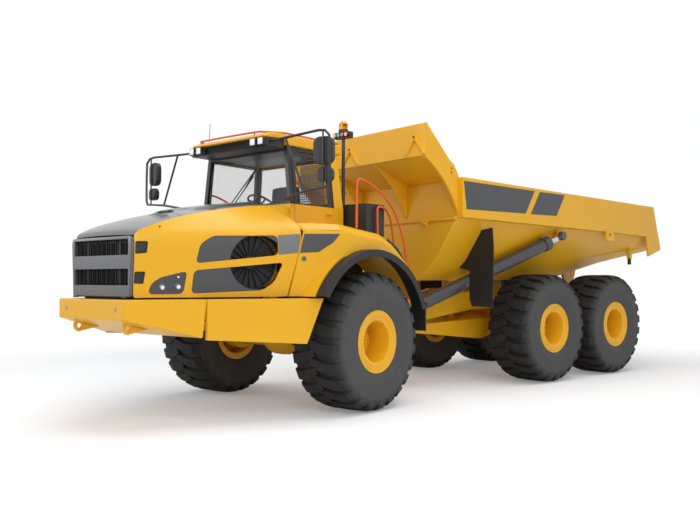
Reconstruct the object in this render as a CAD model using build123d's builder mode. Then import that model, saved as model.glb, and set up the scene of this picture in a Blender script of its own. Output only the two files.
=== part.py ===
from build123d import *
from math import cos, radians, sin
import os

# Articulated dump truck. Every piece is drawn with the machine standing straight:
# X to the machine's left, Y to its rear, Z up from the ground, in millimetres.
# At the end each piece is moved to its parked place, with the front unit turned at the hitch.

# Overall machine
FRONT_END_Y = -5631.5
FRONT_AXLE_Y = -2530.5
HITCH_Y = -1252.5
MID_AXLE_Y = 1987.5
REAR_AXLE_Y = 3927.5
TAIL_END_Y = 5631.5
HALF_TRACK = 1318
PARKED_STEER = 9.35
FOOTPRINT_CENTRE_X = 258
FOOTPRINT_CENTRE_Y = -23
CLEARANCE = 6

# Wheels
TYRE_RADIUS = 900
TYRE_HALF_WIDTH = 396
RIM_SEAT_RADIUS = 318
HUB_FACE_X = 1184

# Front frame, axle and hitch
RAIL_INNER_X = 300
RAIL_OUTER_X = 400
RAIL_BOTTOM_Z = 1080
RAIL_TOP_Z = 1330
AXLE_TUBE_RADIUS = 150
HITCH_Z = 985
HITCH_COLUMN_RADIUS = 170
HITCH_PIN_RADIUS = 60
YOKE_LOWER_Z = (640, 700)
YOKE_UPPER_Z = (1270, 1330)
ROLL_TUBE_RADIUS = 165
ROLL_SHAFT_RADIUS = 120
BEARING_FRONT_Y = -860
BEARING_REAR_Y = -560

# Steering cylinders
STEER_BASE = (420, -2250)
STEER_ARM_X = 360
STEER_EYE_RADIUS = 50
STEER_EYE_HALF_HEIGHT = 37
STEER_PIN_RADIUS = 27
STEER_BARREL_RADIUS = 50
STEER_ROD_RADIUS = 30
STEER_BARREL_LENGTH = 650
STEER_ROD_LENGTH = 650

# Nose, hood and skirts
BUMPER_CORNER_X = 642
BUMPER_TOP_Z = 1475
SKIRT_SEAM = (1000, -4792)
SKIRT_REAR = (1567, -3461)
HOOD_BOTTOM_Z = 1494
HOOD_HINGE = (-5514, 1500)
PLATE = 40

# Cab
CAB_FRONT_Y = -3300
CAB_REAR_Y = -2245
CAB_FLOOR_Z = 2000
CAB_WAIST_Z = 2660
CAB_TOP_Z = 3430
CAB_WAIST_X = 860
CAB_TOP_X = 770
DOOR_Y = (-3220, -2460)
DOOR_Z = (2440, 3362)

# Front wheel arch
ARCH_CENTRE = (-2590, 885)
ARCH_RADIUS = 1200
FLARE_WIDTH = 95
FENDER_X = 1600

# Dump body: pivot, hoist cylinders and the sections from front to tail
DUMP_PIVOT = (4350, 1500)
PIVOT_PIN_RADIUS = 45
HOIST_BASE = (850, -420, 1310)
HOIST_EYE = (1620, 2310, 2450)
HOIST_BARREL_RADIUS = 105
HOIST_ROD_RADIUS = 62
HOIST_EYE_RADIUS = 75
HOIST_GLAND_RADIUS = 120
RAIL_X = 1680
BEAM_X = (450, 570)


def at_y(y):
    """Plane across the machine at this Y: sketch X is left, sketch Y is up; it grows forwards."""
    return Plane(origin=(0, y, 0), x_dir=(1, 0, 0), z_dir=(0, -1, 0))


def at_x(x):
    """Plane along the machine at this X: sketch X is rearwards, sketch Y is up; it grows left."""
    return Plane(origin=(x, 0, 0), x_dir=(0, 1, 0), z_dir=(1, 0, 0))


def prism(plane, outline, depth, mode=Mode.ADD):
    """Extrude a closed outline of straight runs from its plane."""
    with BuildSketch(plane) as profile:
        with BuildLine():
            Polyline(*outline, close=True)
        make_face()
    extrude(profile.sketch, amount=depth, mode=mode)


def block(x, y, z, mode=Mode.ADD):
    """A box between the low and high values of each axis."""
    centre = [(low + high) / 2 for low, high in (x, y, z)]
    size = [high - low for low, high in (x, y, z)]
    with Locations(tuple(centre)):
        Box(*size, mode=mode)


def bar(start, end, radius, mode=Mode.ADD):
    """A round bar from one point to another."""
    run = Vector(*end) - Vector(*start)
    with BuildSketch(Plane(origin=start, z_dir=run)) as section:
        Circle(radius)
    extrude(section.sketch, amount=run.length, mode=mode)


def tube(points, bend, radius):
    """A round tube along straight runs joined by bends."""
    with BuildLine() as route:
        FilletPolyline(*points, radius=bend)
    with BuildSketch(Plane(origin=route.line @ 0, z_dir=route.line % 0)) as section:
        Circle(radius)
    sweep(section.sketch, path=route.line)


def ruled_loft(stations, outline_of, mode=Mode.ADD):
    """Join the outlines that stand across the machine at each station's Y."""
    sections = []
    for station in stations:
        with BuildSketch(at_y(station[0])) as section:
            with BuildLine():
                Polyline(*outline_of(station), close=True)
            make_face()
        sections.append(section.sketch)
    loft(sections, ruled=True, mode=mode)


def both_sides(half_outline):
    """Close a half outline, given from its centre line round to its top, with its mirror image."""
    return list(half_outline) + [(-x, z) for x, z in reversed(half_outline) if x]


def turned(point, angle, centre):
    """A point turned about a centre, in one plane."""
    x, y = point[0] - centre[0], point[1] - centre[1]
    turn = radians(angle)
    return (centre[0] + x * cos(turn) - y * sin(turn), centre[1] + x * sin(turn) + y * cos(turn))


os.makedirs("parts", exist_ok=True)
REAR_PLACE = Location((-FOOTPRINT_CENTRE_X, -FOOTPRINT_CENTRE_Y, 0))
HITCH_PLACE = Location((-FOOTPRINT_CENTRE_X, HITCH_Y - FOOTPRINT_CENTRE_Y, 0), (0, 0, PARKED_STEER))
FRONT_PLACE = HITCH_PLACE * Location((0, -HITCH_Y, 0))


def keep(piece, name, place):
    """Label a finished piece, move it to its parked place and write its file."""
    piece.part = piece.part.moved(place) if place else piece.part
    piece.part.label = name
    export_step(piece.part, f"parts/{name}.step")


# Wheels
# Each wheel is a tyre and a rim with its hub; u runs outwards from the wheel's middle plane.
# A tyre is a faceted ring whose corners are cut away by chevron grooves: what is left between
# the grooves is a lug, with its flat top at the tyre's radius.
LUG_COUNT = 24
LUG_PITCH = 360 / LUG_COUNT
GROOVE_FLOOR_RADIUS = 862
GROOVE_WIDTH = 64
GROOVE_LEAN = 30
TYRE_STATIONS = [
    # distance from the middle plane, radius at the middle of each facet
    (-330, 410), (-TYRE_HALF_WIDTH, 690), (-322, TYRE_RADIUS), (322, TYRE_RADIUS),
    (TYRE_HALF_WIDTH, 690), (330, 410),
]
RIM_PROFILE = [
    (330, 318), (330, 380), (345, 406), (358, 406), (353, 372), (345, 312), (322, 282), (300, 272),
    (-40, 272), (-40, 205), (60, 205), (60, 0), (-128, 0), (-128, 290), (-322, 290), (-345, 312),
    (-345, 395), (-330, 395), (-330, 318),
]
WHEELS = [
    # name, axle Y, place
    ("front", FRONT_AXLE_Y, FRONT_PLACE),
    ("mid", MID_AXLE_Y, REAR_PLACE),
    ("rear", REAR_AXLE_Y, REAR_PLACE),
]
SIDES = [("left", 1), ("right", -1)]


def wheel_ring(profile, axle_y, side):
    """Turn a (u, radius) profile about an axle, with u pointing outwards on that side."""
    outline = [(side * (HALF_TRACK + u), TYRE_RADIUS + r) for u, r in profile]
    with BuildPart() as ring:
        with BuildSketch(at_y(axle_y)):
            with BuildLine():
                Polyline(*outline, close=True)
            make_face()
        revolve(axis=Axis((0, axle_y, TYRE_RADIUS), (1, 0, 0)))
    return ring


def facet_plane(u, axle_y, side):
    """Plane across a wheel's axle at u outwards of its middle plane: sketch Y is up."""
    return Plane(origin=(side * HALF_TRACK + u, axle_y, TYRE_RADIUS), x_dir=(0, 1, 0), z_dir=(1, 0, 0))


def groove_plane(angle, axle_y, side):
    """Plane on a groove's floor at an angle about the axle, facing outwards."""
    outwards = Vector(0, cos(radians(angle)), sin(radians(angle)))
    floor = Vector(side * HALF_TRACK, axle_y, TYRE_RADIUS) + outwards * GROOVE_FLOOR_RADIUS
    return Plane(origin=floor, x_dir=(1, 0, 0), z_dir=outwards)


def groove_cutters(axle_y, side):
    """The chevron prisms that cut the grooves, one at each corner of the faceted ring."""
    reach = TYRE_HALF_WIDTH + 10
    lean = side * GROOVE_LEAN
    half_width = GROOVE_WIDTH / 2
    cutters = []
    for step in range(LUG_COUNT):
        with BuildSketch(groove_plane((step + 0.5) * LUG_PITCH, axle_y, side)) as groove:
            with BuildLine():
                Polyline(
                    (0, -lean - half_width), (reach, lean - half_width), (reach, lean + half_width),
                    (0, -lean + half_width), (-reach, lean + half_width), (-reach, lean - half_width),
                    close=True)
            make_face()
        cutters.append(extrude(groove.sketch, amount=TYRE_RADIUS - 800, mode=Mode.PRIVATE))
    return cutters


def lugged_tyre(axle_y, side):
    """A tyre with its chevron lugs, mirrored from one side of the machine to the other."""
    cutters = groove_cutters(axle_y, side)
    with BuildPart() as tyre:
        sections = []
        for u, radius in TYRE_STATIONS:
            with BuildSketch(facet_plane(u, axle_y, side)) as section:
                RegularPolygon(radius, LUG_COUNT, major_radius=False, rotation=LUG_PITCH / 2)
            sections.append(section.sketch)
        loft(sections, ruled=True)
        add(cutters, mode=Mode.SUBTRACT)
        with BuildSketch(facet_plane(-TYRE_HALF_WIDTH, axle_y, side)) as bore:
            RegularPolygon(RIM_SEAT_RADIUS, LUG_COUNT, major_radius=False, rotation=LUG_PITCH / 2)
        extrude(bore.sketch, amount=2 * TYRE_HALF_WIDTH, mode=Mode.SUBTRACT)
    return tyre


for wheel_name, wheel_y, wheel_place in WHEELS:
    for side_name, side in SIDES:
        tyre = lugged_tyre(wheel_y, side)
        keep(tyre, f"tyre_{wheel_name}_{side_name}", wheel_place)
        rim = wheel_ring(RIM_PROFILE, wheel_y, side)
        keep(rim, f"rim_{wheel_name}_{side_name}", wheel_place)


# Front frame
YOKE_FRONT_Y = -1780
YOKE_BACK_Y = -1680
YOKE_HALF_WIDTH = 280
YOKE_END_RADIUS = 150
RAIL_SIDE = [
    (FRONT_END_Y + PLATE, RAIL_TOP_Z), (FRONT_END_Y + PLATE, 1303), (-4800, RAIL_BOTTOM_Z),
    (YOKE_FRONT_Y, RAIL_BOTTOM_Z), (YOKE_FRONT_Y, RAIL_TOP_Z),
]
with BuildPart() as front_frame:
    for side_name, side in SIDES:
        rail_x = sorted((side * RAIL_INNER_X, side * RAIL_OUTER_X))
        prism(at_x(rail_x[0]), RAIL_SIDE, RAIL_OUTER_X - RAIL_INNER_X)
        base_x, base_y = side * STEER_BASE[0], STEER_BASE[1]
        ear_x = sorted((side * 340, side * 500))
        block(ear_x, (base_y - 80, base_y + 80), (1042, RAIL_BOTTOM_Z + 20))
        bar((base_x, base_y, 1050), (base_x, base_y, 930), STEER_PIN_RADIUS)
    block((-RAIL_OUTER_X, RAIL_OUTER_X), (YOKE_FRONT_Y, YOKE_BACK_Y), (RAIL_BOTTOM_Z, RAIL_TOP_Z))
    block((-YOKE_HALF_WIDTH, YOKE_HALF_WIDTH), (YOKE_FRONT_Y, YOKE_BACK_Y), (YOKE_LOWER_Z[0], RAIL_TOP_Z))
    block((-RAIL_OUTER_X, RAIL_OUTER_X), (-5100, -5000), (1175, RAIL_TOP_Z))
    block((-RAIL_OUTER_X, RAIL_OUTER_X), (-3350, -3200), (RAIL_BOTTOM_Z, RAIL_TOP_Z))
    for plate_z in (YOKE_LOWER_Z, YOKE_UPPER_Z):
        with BuildSketch(Plane.XY.offset(plate_z[0])):
            with BuildLine():
                Polyline(
                    (-YOKE_HALF_WIDTH, YOKE_FRONT_Y), (YOKE_HALF_WIDTH, YOKE_FRONT_Y),
                    (YOKE_END_RADIUS, HITCH_Y), (-YOKE_END_RADIUS, HITCH_Y), close=True)
            make_face()
            with Locations((0, HITCH_Y)):
                Circle(YOKE_END_RADIUS)
                Circle(HITCH_PIN_RADIUS + 2, mode=Mode.SUBTRACT)
        extrude(amount=plate_z[1] - plate_z[0])
keep(front_frame, "front_frame", FRONT_PLACE)


# Axles: a tube with a bowl in the middle and a spindle that reaches to each hub
AXLE_HALF_PROFILE = [
    # x, radius
    (0, 262), (110, 258), (200, 228), (290, 170), (330, AXLE_TUBE_RADIUS), (830, AXLE_TUBE_RADIUS),
    (850, 215), (1124, 215), (1124, 120), (HUB_FACE_X, 120), (HUB_FACE_X, 0),
]


def axle(axle_y, post_top_z, post_x):
    """One axle, turned from its profile, with the two posts that carry the frame on it."""
    with BuildPart() as beam:
        with BuildSketch(at_y(axle_y)):
            with BuildLine():
                Polyline(*[(x, TYRE_RADIUS + r) for x, r in both_sides(AXLE_HALF_PROFILE)], close=True)
            make_face()
        revolve(axis=Axis((0, axle_y, TYRE_RADIUS), (1, 0, 0)))
        for _, side in SIDES:
            block(sorted((side * post_x[0], side * post_x[1])), (axle_y - 90, axle_y + 90),
                  (TYRE_RADIUS + 60, post_top_z))
    return beam


front_axle = axle(FRONT_AXLE_Y, RAIL_BOTTOM_Z, (RAIL_INNER_X, RAIL_OUTER_X))
keep(front_axle, "front_axle", FRONT_PLACE)

# Hitch: the upright steering column with its arms and the roll shaft behind it
ARM_HALF_WIDTH = 80
ARM_TIP_X = 430
ARM_PLATES_Z = ((895, 940), (1030, 1075))
with BuildPart() as hitch:
    bar((0, HITCH_Y, YOKE_LOWER_Z[1] + CLEARANCE), (0, HITCH_Y, YOKE_UPPER_Z[0] - CLEARANCE),
        HITCH_COLUMN_RADIUS)
    bar((0, HITCH_Y, YOKE_LOWER_Z[0] + 10), (0, HITCH_Y, YOKE_UPPER_Z[1] - 10), HITCH_PIN_RADIUS)
    bar((0, HITCH_Y, HITCH_Z), (0, BEARING_FRONT_Y - CLEARANCE, HITCH_Z), ROLL_TUBE_RADIUS)
    bar((0, HITCH_Y, HITCH_Z), (0, BEARING_REAR_Y + 40, HITCH_Z), ROLL_SHAFT_RADIUS)
    for arm_z in ARM_PLATES_Z:
        block((-ARM_TIP_X, ARM_TIP_X), (HITCH_Y - ARM_HALF_WIDTH, HITCH_Y + ARM_HALF_WIDTH), arm_z)
keep(hitch, "hitch", REAR_PLACE)

# Steering cylinders, drawn in the front unit with the hitch turned as parked
for side_name, side in SIDES:
    base = Vector(side * STEER_BASE[0], STEER_BASE[1], HITCH_Z)
    pin_xy = turned((side * STEER_ARM_X, HITCH_Y), -PARKED_STEER, (0, HITCH_Y))
    eye = Vector(pin_xy[0], pin_xy[1], HITCH_Z)
    along = (eye - base).normalized()
    low, high = HITCH_Z - STEER_EYE_HALF_HEIGHT, HITCH_Z + STEER_EYE_HALF_HEIGHT
    with BuildPart() as steer_barrel:
        bar((base.X, base.Y, low), (base.X, base.Y, high), STEER_EYE_RADIUS)
        bar(tuple(base + along * 30), tuple(base + along * STEER_BARREL_LENGTH), STEER_BARREL_RADIUS)
        bar(tuple(base + along * 75), tuple(base + along * (STEER_BARREL_LENGTH + 1)),
            STEER_ROD_RADIUS + 1, mode=Mode.SUBTRACT)
        bar((base.X, base.Y, low - 20), (base.X, base.Y, high + 20), STEER_PIN_RADIUS + 2,
            mode=Mode.SUBTRACT)
    keep(steer_barrel, f"steer_barrel_{side_name}", FRONT_PLACE)
    with BuildPart() as steer_rod:
        bar((eye.X, eye.Y, low), (eye.X, eye.Y, high), STEER_EYE_RADIUS)
        bar(tuple(eye), tuple(eye - along * STEER_ROD_LENGTH), STEER_ROD_RADIUS)
    keep(steer_rod, f"steer_rod_{side_name}", FRONT_PLACE)

# Bumper: a folded shell with a belly plate and two tow eyes below
TOW_EYE = (481.5, -5469, 1161)
BUMPER_LOW_FRONT_Z = 1258
BUMPER_LOW_REAR_Z = 1040
BUMPER_SIDE = [
    (FRONT_END_Y - 10, BUMPER_TOP_Z), (SKIRT_SEAM[1], BUMPER_TOP_Z),
    (SKIRT_SEAM[1] - 40, BUMPER_LOW_REAR_Z), (FRONT_END_Y - 10, BUMPER_LOW_FRONT_Z),
]
with BuildPart() as bumper_inside:
    with BuildSketch(Plane.XY.offset(BUMPER_LOW_REAR_Z - 100)):
        with BuildLine():
            Polyline(
                (-BUMPER_CORNER_X + 25, FRONT_END_Y + PLATE),
                (BUMPER_CORNER_X - 25, FRONT_END_Y + PLATE),
                (SKIRT_SEAM[0] - PLATE, SKIRT_SEAM[1] + 5),
                (PLATE - SKIRT_SEAM[0], SKIRT_SEAM[1] + 5), close=True)
        make_face()
    extrude(amount=BUMPER_TOP_Z - PLATE - BUMPER_LOW_REAR_Z + 100)
    prism(at_x(-1200), [
        (FRONT_END_Y, BUMPER_TOP_Z), (SKIRT_SEAM[1] + 10, BUMPER_TOP_Z),
        (SKIRT_SEAM[1] + 10, BUMPER_LOW_REAR_Z + 25), (FRONT_END_Y, BUMPER_LOW_FRONT_Z + 45),
    ], 2400, mode=Mode.INTERSECT)

with BuildPart() as bumper:
    with BuildSketch(Plane.XY.offset(BUMPER_LOW_REAR_Z - 100)):
        with BuildLine():
            Polyline(
                (-BUMPER_CORNER_X, FRONT_END_Y), (BUMPER_CORNER_X, FRONT_END_Y),
                SKIRT_SEAM, (-SKIRT_SEAM[0], SKIRT_SEAM[1]), close=True)
        make_face()
    extrude(amount=BUMPER_TOP_Z - BUMPER_LOW_REAR_Z + 100)
    prism(at_x(-1200), BUMPER_SIDE, 2400, mode=Mode.INTERSECT)
    add(bumper_inside.part, mode=Mode.SUBTRACT)
    for _, side in SIDES:
        with BuildSketch(at_x(side * TOW_EYE[0] - 22)):
            with BuildLine():
                Polyline(
                    (-5520, 1235), (-5540, TOW_EYE[2]), (TOW_EYE[1], TOW_EYE[2] - 70),
                    (-5250, 1130), (-5180, 1150), (-5180, 1165), close=True)
            make_face()
            with Locations((TOW_EYE[1], TOW_EYE[2])):
                Circle(72)
                Circle(29, mode=Mode.SUBTRACT)
        extrude(amount=44)
keep(bumper, "bumper", FRONT_PLACE)

# Side skirts, between the bumper and the front wheels, each with two brackets to the frame rail
with BuildPart() as side_skirts:
    with BuildSketch(Plane.XY.offset(900)):
        with BuildLine():
            Polyline(
                (SKIRT_SEAM[0] + 2, SKIRT_SEAM[1] + 6), SKIRT_REAR,
                (SKIRT_REAR[0] - 43, SKIRT_REAR[1]), (SKIRT_SEAM[0] - 41, SKIRT_SEAM[1] + 6),
                close=True)
        make_face()
    extrude(amount=BUMPER_TOP_Z - 900)
    prism(at_x(800), [
        (SKIRT_SEAM[1] + 6, BUMPER_TOP_Z), (SKIRT_REAR[1], BUMPER_TOP_Z),
        (SKIRT_REAR[1] - 200, 932), (SKIRT_SEAM[1] - 36, 1020),
    ], 900, mode=Mode.INTERSECT)
    bar((RAIL_OUTER_X, -4500, 1200), (1110, -4500, 1200), 30)
    bar((RAIL_OUTER_X, -3900, 1200), (1360, -3900, 1200), 30)
    mirror(about=Plane.YZ)
keep(side_skirts, "side_skirts", FRONT_PLACE)

# Hood: two folded flanks and a nose frame, with a dark top panel between the flanks
HOOD_SECTIONS = [
    # y, bottom x, shoulder x, shoulder z, top edge x, top edge z, centre z
    (-5460, 560, 588, 2090, 570, 2178, 2192),
    (-5400, 588, 615, 2100, 590, 2238, 2256),
    (-5150, 690, 722, 2160, 640, 2345, 2375),
    (-4400, 1010, 1040, 2240, 690, 2525, 2565),
    (-3560, 1332, 1382, 2300, 730, 2645, 2690),
]
SKIN = 45
TOP_SKIN = 27


def flank_outline(station):
    """The thin outline of the hood's left flank at one station."""
    _, low_x, side_x, side_z, edge_x, edge_z, _ = station
    return [
        (low_x, HOOD_BOTTOM_Z), (side_x, side_z), (edge_x, edge_z),
        (edge_x - 12, edge_z - SKIN), (side_x - SKIN, side_z - 22), (low_x - SKIN, HOOD_BOTTOM_Z),
    ]


def top_outline(station):
    """The thin outline of the hood's top panel at one station."""
    _, _, _, _, edge_x, edge_z, centre_z = station
    inner_x = edge_x - 12 * TOP_SKIN / SKIN
    return both_sides([
        (0, centre_z), (edge_x, edge_z), (inner_x, edge_z - TOP_SKIN), (0, centre_z - TOP_SKIN),
    ])


BULGE_SECTIONS = [
    # y, half width, height over the top panel
    (-4560, 300, 2), (-4400, 430, 26), (-3566, 520, 26),
]


def bulge_outline(station):
    """The outline of the raised middle of the hood's top, whose lower face lies in the panel."""
    y, half_x, height = station
    for (y_low, *low), (y_high, *high) in zip(HOOD_SECTIONS, HOOD_SECTIONS[1:]):
        if y_low <= y <= y_high:
            share = (y - y_low) / (y_high - y_low)
            edge_x, edge_z, centre_z = [a + (b - a) * share for a, b in zip(low[3:], high[3:])]
    side_z = centre_z + (edge_z - centre_z) * half_x / edge_x
    return both_sides([
        (0, centre_z + height), (half_x - 30, side_z + height), (half_x, side_z - 10), (0, centre_z - 10),
    ])


HOOD_REAR_CUT = [(-3589, 2306), (-3771, HOOD_BOTTOM_Z), (-3771, 1300), (-3300, 1300), (-3300, 2900),
                 (-3565, 2900), (-3565, 2420)]
VENTS = [
    # the upper and the lower window in each flank, as (y, z) corners
    [(-4830, 1878), (-4785, 2096), (-4640, 2190), (-3900, 2200), (-3900, 1985)],
    [(-4844, 1799), (-3830, 1900), (-3934, 1665), (-4068, 1569), (-4868, 1536)],
]
HEADLAMP = [(-5314, 1530), (-5290, 1640), (-5200, 1715), (-4915, 1792), (-4950, 1532)]
with BuildPart() as hood:
    ruled_loft(HOOD_SECTIONS, flank_outline)
    prism(at_x(0), HOOD_REAR_CUT, 2000, mode=Mode.SUBTRACT)
    for window in VENTS:
        prism(at_x(400), window, 1100, mode=Mode.SUBTRACT)
    mirror(about=Plane.YZ)
    with BuildSketch(at_y(-5415)):
        with BuildLine():
            Polyline(
                (-548, HOOD_BOTTOM_Z), (548, HOOD_BOTTOM_Z), (572, 2068), (556, 2130),
                (-556, 2130), (-572, 2068), close=True)
        make_face()
        with Locations((0, 1815)):
            Rectangle(940, 560, mode=Mode.SUBTRACT)
    extrude(amount=45)
    prism(at_x(-1200), HEADLAMP, 2400, mode=Mode.SUBTRACT)
    for hinge_x in ((-520, -440), (440, 520)):
        block(hinge_x, (HOOD_HINGE[0], -5455), (HOOD_HINGE[1] - 6, HOOD_HINGE[1] + 6))
        bar((hinge_x[0], *HOOD_HINGE), (hinge_x[1], *HOOD_HINGE), 11)
    block((-655, 655), (-5190, -5150), (2230, 2290))
    block((-790, 790), (-4420, -4380), (2400, 2440))
keep(hood, "hood", FRONT_PLACE)

with BuildPart() as hood_top:
    ruled_loft(HOOD_SECTIONS, top_outline)
    ruled_loft(BULGE_SECTIONS, bulge_outline)
    prism(at_x(-1000), HOOD_REAR_CUT, 2000, mode=Mode.SUBTRACT)
keep(hood_top, "hood_top", FRONT_PLACE)


def inlay_outline(outer, inner):
    """The outline of a thin inlay in the left flank, between two depths below its face."""
    def outline(station):
        _, low_x, side_x, side_z, _, _, _ = station
        return [
            (low_x - outer, HOOD_BOTTOM_Z), (side_x - outer, side_z),
            (side_x - inner, side_z - 8), (low_x - inner, HOOD_BOTTOM_Z),
        ]
    return outline


# Dark inlays in the flank windows, open where the cooling fan looks out
FAN_Y = -4184
FAN_Z = 1900
FAN_RADIUS = 330
with BuildPart() as vent_windows:
    for window in VENTS:
        prism(at_x(400), window, 1100)

with BuildPart() as hood_vents:
    ruled_loft(HOOD_SECTIONS, inlay_outline(10, 28))
    add(vent_windows.part, mode=Mode.INTERSECT)
    bar((600, FAN_Y, FAN_Z), (1500, FAN_Y, FAN_Z), FAN_RADIUS - 5, mode=Mode.SUBTRACT)
    mirror(about=Plane.YZ)
keep(hood_vents, "hood_vents", FRONT_PLACE)

with BuildPart() as headlamps:
    ruled_loft(HOOD_SECTIONS, inlay_outline(5, 42))
    prism(at_x(400), HEADLAMP, 1100, mode=Mode.INTERSECT)
    mirror(about=Plane.YZ)
keep(headlamps, "headlamps", FRONT_PLACE)

# Grille: a frame with two wide openings and upright slats behind them
GRILLE_Y = (-5505, -5462)
GRILLE_OPENINGS = [(1633, 1810), (1965, 2135)]
with BuildPart() as grille:
    prism(at_y(GRILLE_Y[1]), both_sides([(553, 1508), (585, 2105), (572, 2150), (545, 2168)]),
          GRILLE_Y[1] - GRILLE_Y[0])
    for opening in GRILLE_OPENINGS:
        block((-530, 530), (-5600, -5400), opening, mode=Mode.SUBTRACT)
        for step in range(-5, 6):
            block((step * 90 - 4, step * 90 + 4), (-5485, -5467), (opening[0] - 5, opening[1] + 5))
keep(grille, "grille", FRONT_PLACE)

# Engine and cooling
with BuildPart() as engine_block:
    block((-380, 380), (-4780, -3480), (RAIL_TOP_Z, 2080))
keep(engine_block, "engine_block", FRONT_PLACE)

FAN_FINS = 20
FAN_PLANE = Plane(origin=(1000, -4141, FAN_Z), x_dir=(0.3932, 0.9195, 0), z_dir=(0.9195, -0.3932, 0))
with BuildPart() as cooling_pack:
    with BuildSketch(FAN_PLANE):
        Circle(FAN_RADIUS)
        Circle(FAN_RADIUS - 16, mode=Mode.SUBTRACT)
        Circle(80)
        with PolarLocations(200, FAN_FINS):
            Rectangle(260, 9)
    extrude(amount=-50)
    with BuildSketch(FAN_PLANE.offset(-50)) as fan_back:
        Circle(FAN_RADIUS)
    extrude(fan_back.sketch, amount=14)
    bar((382, -4120, FAN_Z), (980, -4120, FAN_Z), 45)
    mirror(about=Plane.YZ)
    block((-500, 500), (-5385, -5260), (BUMPER_TOP_Z + 1, 2080))
keep(cooling_pack, "cooling_pack", FRONT_PLACE)


# Cab
def cab_body(inset):
    """The closed form of the cab, brought inwards by an inset."""
    rows = [
        # z, half width, front y, rear y
        (CAB_FLOOR_Z + inset, CAB_WAIST_X, CAB_FRONT_Y, CAB_REAR_Y),
        (CAB_WAIST_Z, CAB_WAIST_X, CAB_FRONT_Y, CAB_REAR_Y),
        (CAB_TOP_Z - inset, CAB_TOP_X, CAB_FRONT_Y + 20, CAB_REAR_Y - 35),
    ]
    with BuildPart() as body:
        for z, half_x, front_y, rear_y in rows:
            with BuildSketch(Plane.XY.offset(z)):
                with Locations((0, (front_y + rear_y) / 2)):
                    Rectangle(2 * (half_x - inset), rear_y - front_y - 2 * inset)
        loft(ruled=True)
    return body.part


WINDSCREEN = [(-790, 2700), (790, 2700), (712, 3360), (-712, 3360)]
REAR_WINDOW = [(-770, 2760), (770, 2760), (705, 3340), (-705, 3340)]
SIDE_WINDOW = [(-3200, 2690), (-2340, 2690), (-2370, 3345), (-3200, 3345)]
DOOR_WINDOW = [(-3160, 2690), (-2515, 2690), (-2515, 3315), (-3160, 3315)]
DOOR_GAP = 6
CAB_WALL = 50
cab_outside = cab_body(0)
cab_inside = cab_body(CAB_WALL)
COWL_SECTIONS = [
    # y, lower x, upper x, upper z, centre z
    (-3556, 1150, 735, 2640, 2680),
    (CAB_FRONT_Y + 1, 866, 800, 2640, 2662),
]


def cowl_outline(station):
    """The cowl's outline across the machine at one station."""
    _, low_x, high_x, high_z, centre_z = station
    return both_sides([(0, centre_z), (high_x, high_z), (low_x, 2425)])


def door_outline(gap):
    """The door's outline in its plane, grown by a gap, twice as wide over its rising top edge."""
    return [
        (DOOR_Y[0] - gap, DOOR_Z[0] - gap), (DOOR_Y[1] + gap, DOOR_Z[0] - gap),
        (DOOR_Y[1] + gap, DOOR_Z[1] + 2 * gap), (DOOR_Y[0] - gap, DOOR_Z[1] + 2 * gap),
    ]


with BuildPart() as cab_shell:
    add(cab_outside)
    add(cab_inside, mode=Mode.SUBTRACT)
    prism(at_y(-3100), WINDSCREEN, 400, mode=Mode.SUBTRACT)
    prism(at_y(-2100), REAR_WINDOW, 300, mode=Mode.SUBTRACT)
    prism(at_x(-1000), SIDE_WINDOW, 400, mode=Mode.SUBTRACT)
    prism(at_x(600), door_outline(DOOR_GAP), 400, mode=Mode.SUBTRACT)
    ruled_loft(COWL_SECTIONS, cowl_outline)
    for _, side in SIDES:
        foot_x = sorted((side * RAIL_INNER_X, side * (RAIL_OUTER_X + 60)))
        block(foot_x, (-3240, -3140), (RAIL_TOP_Z, CAB_FLOOR_Z + 20))
        block(foot_x, (-2400, -2300), (RAIL_TOP_Z, CAB_FLOOR_Z + 20))
keep(cab_shell, "cab_shell", FRONT_PLACE)

with BuildPart() as cab_door:
    add(cab_outside)
    add(cab_inside, mode=Mode.SUBTRACT)
    prism(at_x(600), door_outline(0), 400, mode=Mode.INTERSECT)
    prism(at_x(600), DOOR_WINDOW, 400, mode=Mode.SUBTRACT)
    block((CAB_WAIST_X - 5, CAB_WAIST_X + 25), (-2620, -2500), (2570, 2610))
keep(cab_door, "cab_door", FRONT_PLACE)

glass_outside = cab_body(20)
glass_inside = cab_body(28)
with BuildPart() as panes:
    prism(at_y(-3100), WINDSCREEN, 400)
    prism(at_y(-2100), REAR_WINDOW, 300)
    prism(at_x(-1000), SIDE_WINDOW, 400)

with BuildPart() as cab_windows:
    add(glass_outside)
    add(glass_inside, mode=Mode.SUBTRACT)
    add(panes.part, mode=Mode.INTERSECT)
keep(cab_windows, "cab_windows", FRONT_PLACE)

with BuildPart() as door_window:
    add(glass_outside)
    add(glass_inside, mode=Mode.SUBTRACT)
    prism(at_x(600), DOOR_WINDOW, 400, mode=Mode.INTERSECT)
keep(door_window, "door_window", FRONT_PLACE)

# Roof cap, and the dark visor with its four work lamps
VISOR_Y = (-3600, -3305)
VISOR_Z = (3385, 3498)
VISOR_X = 745
LAMP_X = (530, 671)
ROOF_TOP_Z = 3565
with BuildPart() as cab_roof:
    prism(at_x(-800), [
        (-3640, 3500), (-3640, 3530), (-3560, ROOF_TOP_Z), (-2250, ROOF_TOP_Z), (-2215, 3540),
        (-2215, CAB_TOP_Z), (-3283, CAB_TOP_Z), (-3300, 3500),
    ], 1600)
    for _, side in SIDES:
        with BuildSketch(Plane.XY.offset(3400)):
            with BuildLine():
                Polyline((side * 640, -3700), (side * 820, -3700), (side * 820, -3440), close=True)
            make_face()
        extrude(amount=300, mode=Mode.SUBTRACT)
keep(cab_roof, "cab_roof", FRONT_PLACE)

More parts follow.
